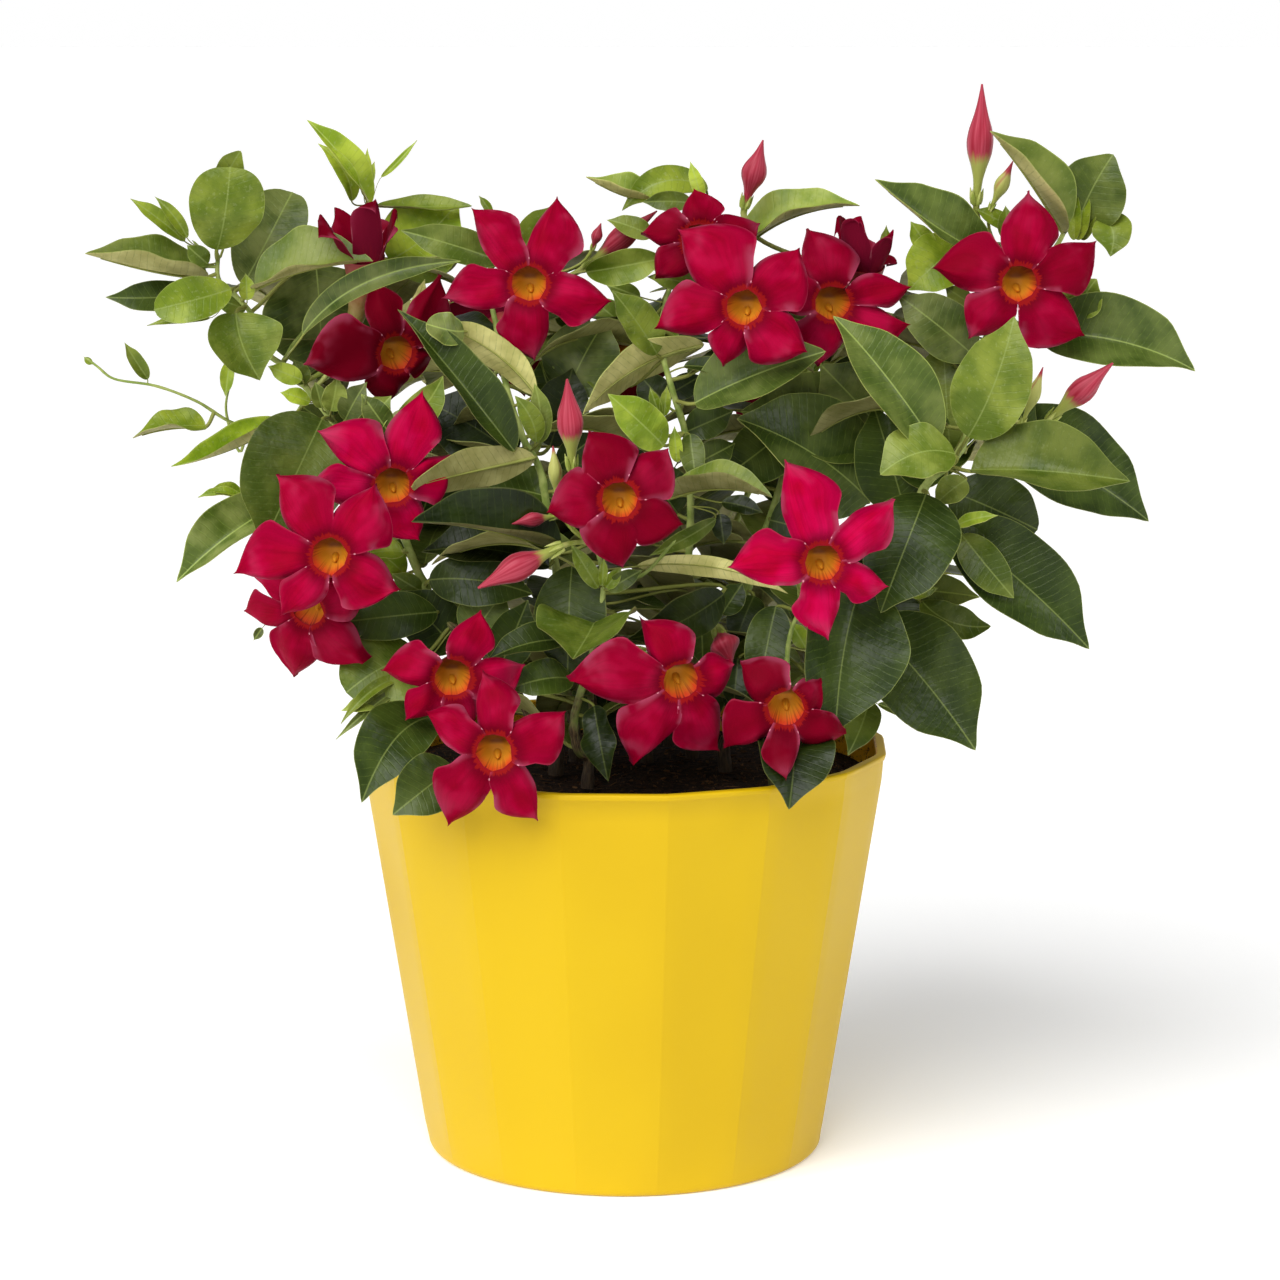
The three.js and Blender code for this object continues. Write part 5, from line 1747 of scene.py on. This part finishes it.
@dataclass
class Pot:
    """The pot: a tapering sixteen-sided shell with softened ridges, a rounded foot and a thin
    proud lip. Its heights and radii are read from the frame's own pot."""

    sides: int = 16
    first_ridge: float = math.radians(9)
    wall: float = 2.4 * MM
    floor: float = 3.0 * MM
    lip_width: float = 4.6 * MM
    lip_height: float = 3.0 * MM
    lip_step: float = 0.7 * MM
    foot_round: float = 3.4 * MM
    ridge_round: float = 0.45 * MM
    per_side: int = 14

    def __post_init__(self) -> None:
        """Reads the pot's height and radii from its node."""
        low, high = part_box("pot")
        self.height = high.z - low.z
        points = np.array([v.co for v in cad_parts["pot"].data.vertices])
        out = np.hypot(points[:, 0], points[:, 1])
        self.rim = float(out.max())
        at_foot = points[:, 2] < self.height * 0.1
        self.foot = float(out[at_foot].max()) - (self.rim - float(out[at_foot].max())) * 0.023

    def wall_radius(self, height: float) -> float:
        """The outer radius to the ridges at a height."""
        return self.foot + (self.rim - self.foot) * height / self.height

    def facets(self) -> tuple[Array, Array]:
        """The angles round the pot and the radius there as a share of the ridge's.

        A flat side is at cos(half side) / cos(angle from its middle). Near a ridge it is eased
        back by a few tenths of a millimetre.

        Returns:
            The angles from the front towards +X, and the shares.
        """
        step = 2 * np.pi / self.sides
        local = np.sin(np.linspace(-0.5, 0.5, self.per_side, endpoint=False) * np.pi) * step / 2
        middles = self.first_ridge + step / 2 + np.arange(self.sides) * step
        share = np.cos(step / 2) / np.cos(local)
        ease = (self.ridge_round / self.rim) * smooth(np.abs(local), step * 0.36, step * 0.5)
        angles = (middles[:, None] + local[None, :]).ravel()
        return angles, np.tile(share - ease, self.sides)

    def profile(self) -> tuple[Array, Array]:
        """The wall's section from the middle of the underside to that of the floor.

        Returns:
            Rows of radius and height, and 1 where one is inside.
        """
        bevel = self.foot_round
        quarter = np.linspace(0, np.pi / 2, 7)[1:]
        foot = self.wall_radius(bevel)
        below = self.height - self.lip_height
        outer = [(0.3 * self.foot, 0.0), (0.7 * self.foot, 0.0), (foot - bevel, 0.0)]
        outer += arc(foot - bevel, bevel, bevel, quarter - np.pi / 2)
        heights = np.linspace(bevel, below, 20)[1:]
        outer += [(self.wall_radius(h) - self.lip_step * float(smooth(h, below - 8 * MM, below)), h)
                  for h in heights]
        edge = 1.1 * MM
        outer += [(self.wall_radius(below) - 0.1 * MM, below + 0.35 * MM),
                  (self.wall_radius(below), below + 0.8 * MM),
                  (self.rim - 0.05 * MM, self.height - edge)]
        outer += arc(self.rim - edge, self.height - edge, edge, quarter[1:])
        lip = self.rim - self.lip_width
        inner = [(lip + edge, self.height)]
        inner += arc(lip + edge, self.height - edge, edge, quarter + np.pi / 2)
        drop = below - self.lip_height
        inside = [(lip, below), (self.wall_radius(drop) - self.wall, drop)]
        inside += [(self.wall_radius(h) - self.wall, h) for h in np.linspace(drop, self.floor, 8)[1:]]
        inside += [(0.5 * self.foot, self.floor)]
        rows = np.array(outer + inner + inside)
        inner_side = np.concatenate([np.zeros(len(outer) + 2), np.ones(len(inner) - 2 + len(inside))])
        return rows, inner_side

    def build(self, finishes: Finishes) -> None:
        """Builds the pot as one closed turned shell."""
        angles, share = self.facets()
        rows, inner = self.profile()
        round_share = share.mean() + (share - share.mean()) * smooth(rows[:, 1], 0, 13 * MM)[:, None]
        radius = rows[:, 0][:, None] * round_share
        hoops = np.stack([radius * np.sin(angles), -radius * np.cos(angles),
                          np.broadcast_to(rows[:, 1][:, None], radius.shape)], axis=-1)
        skin = Skin()
        skin.loft(hoops, np.array([0, 0, 0.0]), np.array([0, 0, self.floor]), inner=inner)
        skin.piece("pot_shell", [finishes.pot], Slot.POT, ["pot"])


@dataclass
class Soil:
    """The soil: one lumpy plug that fills the pot, strewn with bark and fibres."""

    pot: Pot
    gap: float = 0.3 * MM
    chips: int = 420
    fibres: int = 260

    def __post_init__(self) -> None:
        """Reads the level from the frame."""
        self.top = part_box("soil")[1].z

    def level(self, x: Array, y: Array) -> Array:
        """The surface: level, a little lower at the wall, with lumps of two sizes."""
        points = np.stack([x, y, x * 0], -1)
        lumps = Ripple(3, 26 * MM).at(points) * 1.3 * MM + Ripple(4, 7 * MM).at(points) * 0.55 * MM
        edge = smooth(np.hypot(x, y), 0.086, 0.108)
        return self.top - 1.6 * MM + lumps - 2.2 * MM * edge

    def build(self, finishes: Finishes) -> None:
        """Builds the plug and what lies on it as one piece."""
        skin = Skin()
        angles, share = self.pot.facets()
        angles, share = angles[::2], share[::2]
        bottom = self.pot.floor + self.gap
        rows = [(0.6, bottom, 0)] + [(1.0, h, 0) for h in np.linspace(bottom, self.top - 6 * MM, 5)]
        rows += [(s, 0.0, 1) for s in np.linspace(1.0, 0.02, 44)]
        hoops = []
        for reach, height, on_top in rows:
            limit = self.pot.wall_radius(self.top - 4 * MM if on_top else height) - self.pot.wall - self.gap
            radius = reach * limit * share
            x, y = radius * np.sin(angles), -radius * np.cos(angles)
            z = self.level(x, y) if on_top else np.full_like(x, height)
            hoops.append(np.stack([x, y, z], -1))
        skin.loft(np.array(hoops), tone=0.0)
        rng = np.random.default_rng(12)
        self.strew(skin, rng, self.chips, (1.0, 3.6), 0.55)
        self.strew(skin, rng, self.fibres, (3.5, 9.0), 0.09)
        skin.piece("soil_surface", [finishes.soil], Slot.SOIL, ["soil"])

    def strew(
        self, skin: Skin, rng: np.random.Generator, count: int, size: tuple[float, float], slim: float
    ) -> None:
        """Strews small bits on the surface: five-sided double cones, stretched and turned.

        Args:
            skin: Their piece.
            rng: Where they lie.
            count: How many there are.
            size: Their least and greatest length in mm.
            slim: Their width as a share of it.
        """
        corner = np.arange(5) / 5 * 2 * np.pi
        hoop = np.stack([np.cos(corner), np.sin(corner)], -1)
        shape = np.array([[z, *(xy * w)] for z, w in ((-0.55, 0.7), (0.5, 0.8)) for xy in hoop]
                         + [[-1.0, 0.1, 0.0], [1.0, 0.0, 0.1]])
        here, beside = np.arange(5), (np.arange(5) + 1) % 5
        quads = np.stack([here, here + 5, beside + 5, beside], -1)[:, ::-1]
        caps = np.vstack([np.stack([here, beside, np.full(5, 10)], -1)[:, ::-1],
                          np.stack([here + 5, np.full(5, 11), beside + 5], -1)[:, ::-1]])
        reach = 0.1035 * np.sqrt(rng.uniform(0, 1, count))
        around = rng.uniform(0, 2 * np.pi, count)
        x, y = reach * np.cos(around), reach * np.sin(around)
        length = rng.uniform(*size, count) * MM / 2
        heading = unit(rng.normal(size=(count, 3)) * [1, 1, 0.22])
        aside = square_to(rng.normal(size=(count, 3)), heading)
        axes = np.stack([heading, aside * slim, np.cross(heading, aside) * slim * 0.7], 1)
        jitter = 1 + rng.normal(0, 0.12, (count, len(shape), 1))
        local = np.einsum("nk,cks->cns", shape, axes * length[:, None, None]) * jitter
        centre = np.stack([x, y, self.level(x, y) + length * slim * 0.5], -1)
        points = (centre[:, None] + local).reshape(-1, 3)
        offset = (np.arange(count) * len(shape))[:, None, None]
        tone = np.repeat(rng.uniform(0, 0.8, count) ** 2, len(shape))
        quads = (quads[None] + offset).reshape(-1, 4)
        caps = (caps[None] + offset).reshape(-1, 3)
        plain = np.zeros(len(quads), int), np.zeros(len(caps), int)
        skin.add(points, quads, caps, plain, {"tone": tone})


# ---- foliage that fills the back


@dataclass
class Thicket:
    """Leaves in opposite pairs along the vines, on the side away from the front and inside the
    plant's outline, so that it is as full behind as it is in front."""

    outline: tuple[tuple[float, float], ...] = (
        (250, 330), (300, 262), (420, 258), (520, 262), (640, 262), (720, 292), (800, 300),
        (860, 285), (900, 262), (1000, 262), (1060, 330), (1080, 470), (1040, 580), (940, 700),
        (840, 742), (560, 742), (440, 700), (340, 600), (262, 500))
    spacing: float = 13 * MM
    seed: int = 40

    def inside(self, square: Array) -> bool:
        """Whether a place on the drawing is inside the outline, by the winding of its corners."""
        corners = np.array(self.outline) - square
        following = np.roll(corners, -1, axis=0)
        cross = corners[:, 0] * following[:, 1] - corners[:, 1] * following[:, 0]
        dot = (corners * following).sum(1)
        return abs(np.arctan2(cross, dot).sum()) > np.pi

    def leaves(self, stem: Stem, limit: float) -> Iterable[LeafLine]:
        """The leaves along one stem.

        Args:
            stem: The stem.
            limit: How far back a leaf may reach, in metres.

        Yields:
            A leaf for each place where it fits.
        """
        rng = np.random.default_rng(self.seed + sum(map(ord, stem.line.name)))
        run = lengths(stem.path)
        start, turn = 0.16 * run[-1], rng.uniform(0, np.pi)
        for mark in np.arange(start, run[-1] * 0.97, self.spacing):
            node = stem.path[int(np.searchsorted(run, mark))]
            turn += np.pi / 2 + rng.normal(0, 0.25)
            for side in (0.0, np.pi):
                length = rng.uniform(46, 78) * MM
                bearing = turn + side
                out = np.array([math.cos(bearing), math.sin(bearing), rng.uniform(-0.35, 0.45)])
                base = node + unit(out) * rng.uniform(7, 11) * MM
                tip = base + unit(out + [0, 0, -0.25]) * length
                behind = out[1] > 0.12 or min(base[1], tip[1]) > 12 * MM
                if not behind or tip[1] > limit or tip[2] < 0.19:
                    continue
                if not self.inside(DRAWING.seen_at(tip)):
                    continue
                age = rng.choice([DARK, DARK, RIPE, GREY, OLIVE])
                heading = unit(tip - base)
                to_eye = square_to(DRAWING.eye - base, heading)
                up = square_to(np.array([heading[0] * 0.5, heading[1] * 0.5 + 0.25, 1.0]), heading)
                roll = math.degrees(math.atan2(np.cross(to_eye, up) @ heading, to_eye @ up))
                spots = [(*DRAWING.seen_at(point), point[1] / MM) for point in (base, tip)]
                yield LeafLine(stem.line.key, *spots, length / MM * rng.uniform(0.46, 0.6), age,
                               roll + rng.normal(0, 12), rng.uniform(0.06, 0.16), rng.uniform(5, 16))


# ---- the plant


@dataclass
class Plant:
    """The whole plant: vines, leaves, flowers and buds."""

    finishes: Finishes
    soil_top: float
    stems: dict[str, Stem] = field(default_factory=dict)

    def build(self) -> None:
        """Builds every part in order."""
        self.build_stems()
        self.build_leaves()
        self.build_flowers()
        self.build_buds()

    def build_stems(self) -> None:
        """Builds each vine as its node's stand-in, and the finer shoots as one piece."""
        for line in VINES + SHOOTS:
            self.stems[line.key] = Stem.grown(line, self.stems, self.soil_top)
        for line in VINES:
            skin = Skin()
            self.stems[line.key].add_to(skin)
            skin.piece(line.name + "_stem", [self.finishes.stem], Slot.VINE, [line.name])
        skin = Skin()
        for line in SHOOTS:
            self.stems[line.key].add_to(skin)
        skin.piece("young_shoots", [self.finishes.stem], Slot.VINE)

    def build_foliage(self, name: str, lines: Iterable[LeafLine], seed: int, node: str = "") -> None:
        """Builds leaves as one piece.

        Args:
            name: What the piece is called.
            lines: The leaves.
            seed: The first leaf's seed. Each further leaf has the next one.
            node: The frame's node that it stands for.
        """
        skin = Skin()
        for number, line in enumerate(lines):
            Leaf(line, seed + number).add_to(skin, self.stems[line.vine])
        skin.piece(name, [self.finishes.leaf], Slot.LEAF, [node] if node else [])

    def build_leaves(self) -> None:
        """Builds the frame's leaves one by one, and the rest by the spray or vine."""
        for number, (name, row) in enumerate(LEAVES.items()):
            self.build_foliage(name + "_blade", [LeafLine(*row)], 100 + number, name)
        for name, rows in SPRAYS.items():
            self.build_foliage(name, [LeafLine(*row) for row in rows], 200 + sum(map(ord, name)))
        thicket = Thicket()
        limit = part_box("leaf_back_right")[1].y
        for stem in self.stems.values():
            name = stem.line.name
            lines = list(thicket.leaves(stem, limit)) if name.startswith("vine") else []
            if lines:
                self.build_foliage("thicket_" + name, lines, 900 + sum(map(ord, name)))

    def build_flowers(self) -> None:
        """Builds the frame's flowers, and those in the shade and at the back."""
        for number, line in enumerate(FLOWERS):
            Flower(line, 300 + number).build(self.finishes, self.stems[line.vine], [line.name])
        for number, line in enumerate(BACK_FLOWERS):
            Flower(line, 350 + number).build(self.finishes, self.stems[line.vine])

    def build_buds(self) -> None:
        """Builds the frame's buds one by one, and the small ones as one piece."""
        finishes = [self.finishes.bud, self.finishes.growth]
        for number, line in enumerate(BUDS):
            skin = Skin()
            Bud(line, number).add_to(skin, self.stems[line.vine])
            skin.piece(line.name + "_furled", finishes, Slot.BUD, [line.name])
        skin = Skin()
        for number, line in enumerate(SMALL_BUDS):
            Bud(line, 20 + number).add_to(skin, self.stems[line.vine])
        skin.piece("small_buds", finishes, Slot.BUD)


# ---- studio


@dataclass(frozen=True)
class Studio:
    """A pale floor, soft light from a high broad source and two panels, and the camera at the
    drawing's eye."""

    sensor: float = 36.0
    floor_size: float = 400.0
    horizon: str = "#ffffff"
    strip: tuple[float, float] = (0.035, 0.12)
    sky: str = "#868688"
    sun_strength: float = 2.9
    sun_softness: float = math.radians(50)
    sun_turn: float = math.radians(-28)
    sun_drop: float = math.radians(46)

    def build(self) -> None:
        """Builds floor, light and camera."""
        self.build_floor()
        self.build_sky()
        self.build_sun()
        self.build_panel("left_panel", (-1.7, -0.9, 1.0), 0.9, 9.0)
        self.build_panel("right_panel", (1.7, -0.8, 1.3), 0.9, 11.0)
        self.build_camera()

    def build_floor(self) -> None:
        """A large level sheet at the pot's foot."""
        half = self.floor_size / 2
        mesh = bpy.data.meshes.new("floor")
        mesh.from_pydata(
            [(-half, -half, 0), (half, -half, 0), (half, half, 0), (-half, half, 0)], [], [(0, 1, 2, 3)]
        )
        mesh.materials.append(PaleFloor().material())
        placed("floor", mesh)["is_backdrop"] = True

    def build_sky(self) -> None:
        """A dim grey room with a white strip at the horizon, where it meets the floor."""
        world = bpy.data.worlds.new("studio")
        world.use_nodes = True
        tree = world.node_tree
        kinds = ("TexCoord", "SeparateXYZ", "MapRange", "Mix")
        place, split, rise, mix = (tree.nodes.new("ShaderNode" + kind) for kind in kinds)
        rise.inputs["From Min"].default_value, rise.inputs["From Max"].default_value = self.strip
        mix.data_type = "RGBA"
        mix.inputs[6].default_value, mix.inputs[7].default_value = linear(self.horizon), linear(self.sky)
        for out, into in (
            (place.outputs["Generated"], split.inputs[0]),
            (split.outputs["Z"], rise.inputs["Value"]),
            (rise.outputs[0], mix.inputs[0]),
            (mix.outputs[2], tree.nodes["Background"].inputs["Color"]),
        ):
            tree.links.new(out, into)
        bpy.context.scene.world = world

    def build_sun(self) -> None:
        """The broad main light, from the front, the left and above."""
        lamp = bpy.data.lights.new("main_light", "SUN")
        lamp.energy, lamp.angle = self.sun_strength, self.sun_softness
        placed("main_light", lamp).rotation_euler = (self.sun_drop, 0, self.sun_turn)

    def build_panel(self, name: str, place: Spot, size: float, power: float) -> None:
        """A square light panel that faces the middle of the plant.

        Args:
            name: What it is called.
            place: Where it hangs, in metres.
            size: Its side.
            power: Its power in watts.
        """
        lamp = bpy.data.lights.new(name, "AREA")
        lamp.size, lamp.energy = size, power
        panel = placed(name, lamp)
        aim = np.array([0, 0, 0.27]) - np.array(place)
        yaw = math.atan2(aim[0], -aim[1])
        pitch = math.atan2(math.hypot(aim[0], aim[1]), -aim[2])
        panel.location = place
        panel.rotation_euler = (pitch, 0, yaw + math.pi)

    def build_camera(self) -> None:
        """The camera stands at the drawing's eye and looks down as much."""
        data = bpy.data.cameras.new("camera")
        data.sensor_width = self.sensor
        data.lens = DRAWING.squares_per_unit / DRAWING.sheet * self.sensor
        camera = placed("camera", data)
        data.shift_x = (DRAWING.sheet / 2 - DRAWING.middle_across) / DRAWING.sheet
        camera.location = DRAWING.eye
        camera.rotation_euler = (math.pi / 2 - DRAWING.look_down, 0, 0)
        bpy.context.scene.camera = camera


def main() -> None:
    """Builds the pot, the soil, the plant and the studio."""
    logging.basicConfig(level=logging.INFO, format="%(message)s")
    finishes = Finishes()
    pot = Pot()
    pot.build(finishes)
    soil = Soil(pot)
    soil.build(finishes)
    Plant(finishes, soil.top).build()
    Studio().build()
    bpy.context.scene.view_settings.view_transform = "Standard"
    boxes = {"cad": CAD_BOX, "visual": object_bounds()}
    {name: [list(corner) for corner in box] for name, box in boxes.items()}


if __name__ == "__main__":
    main()
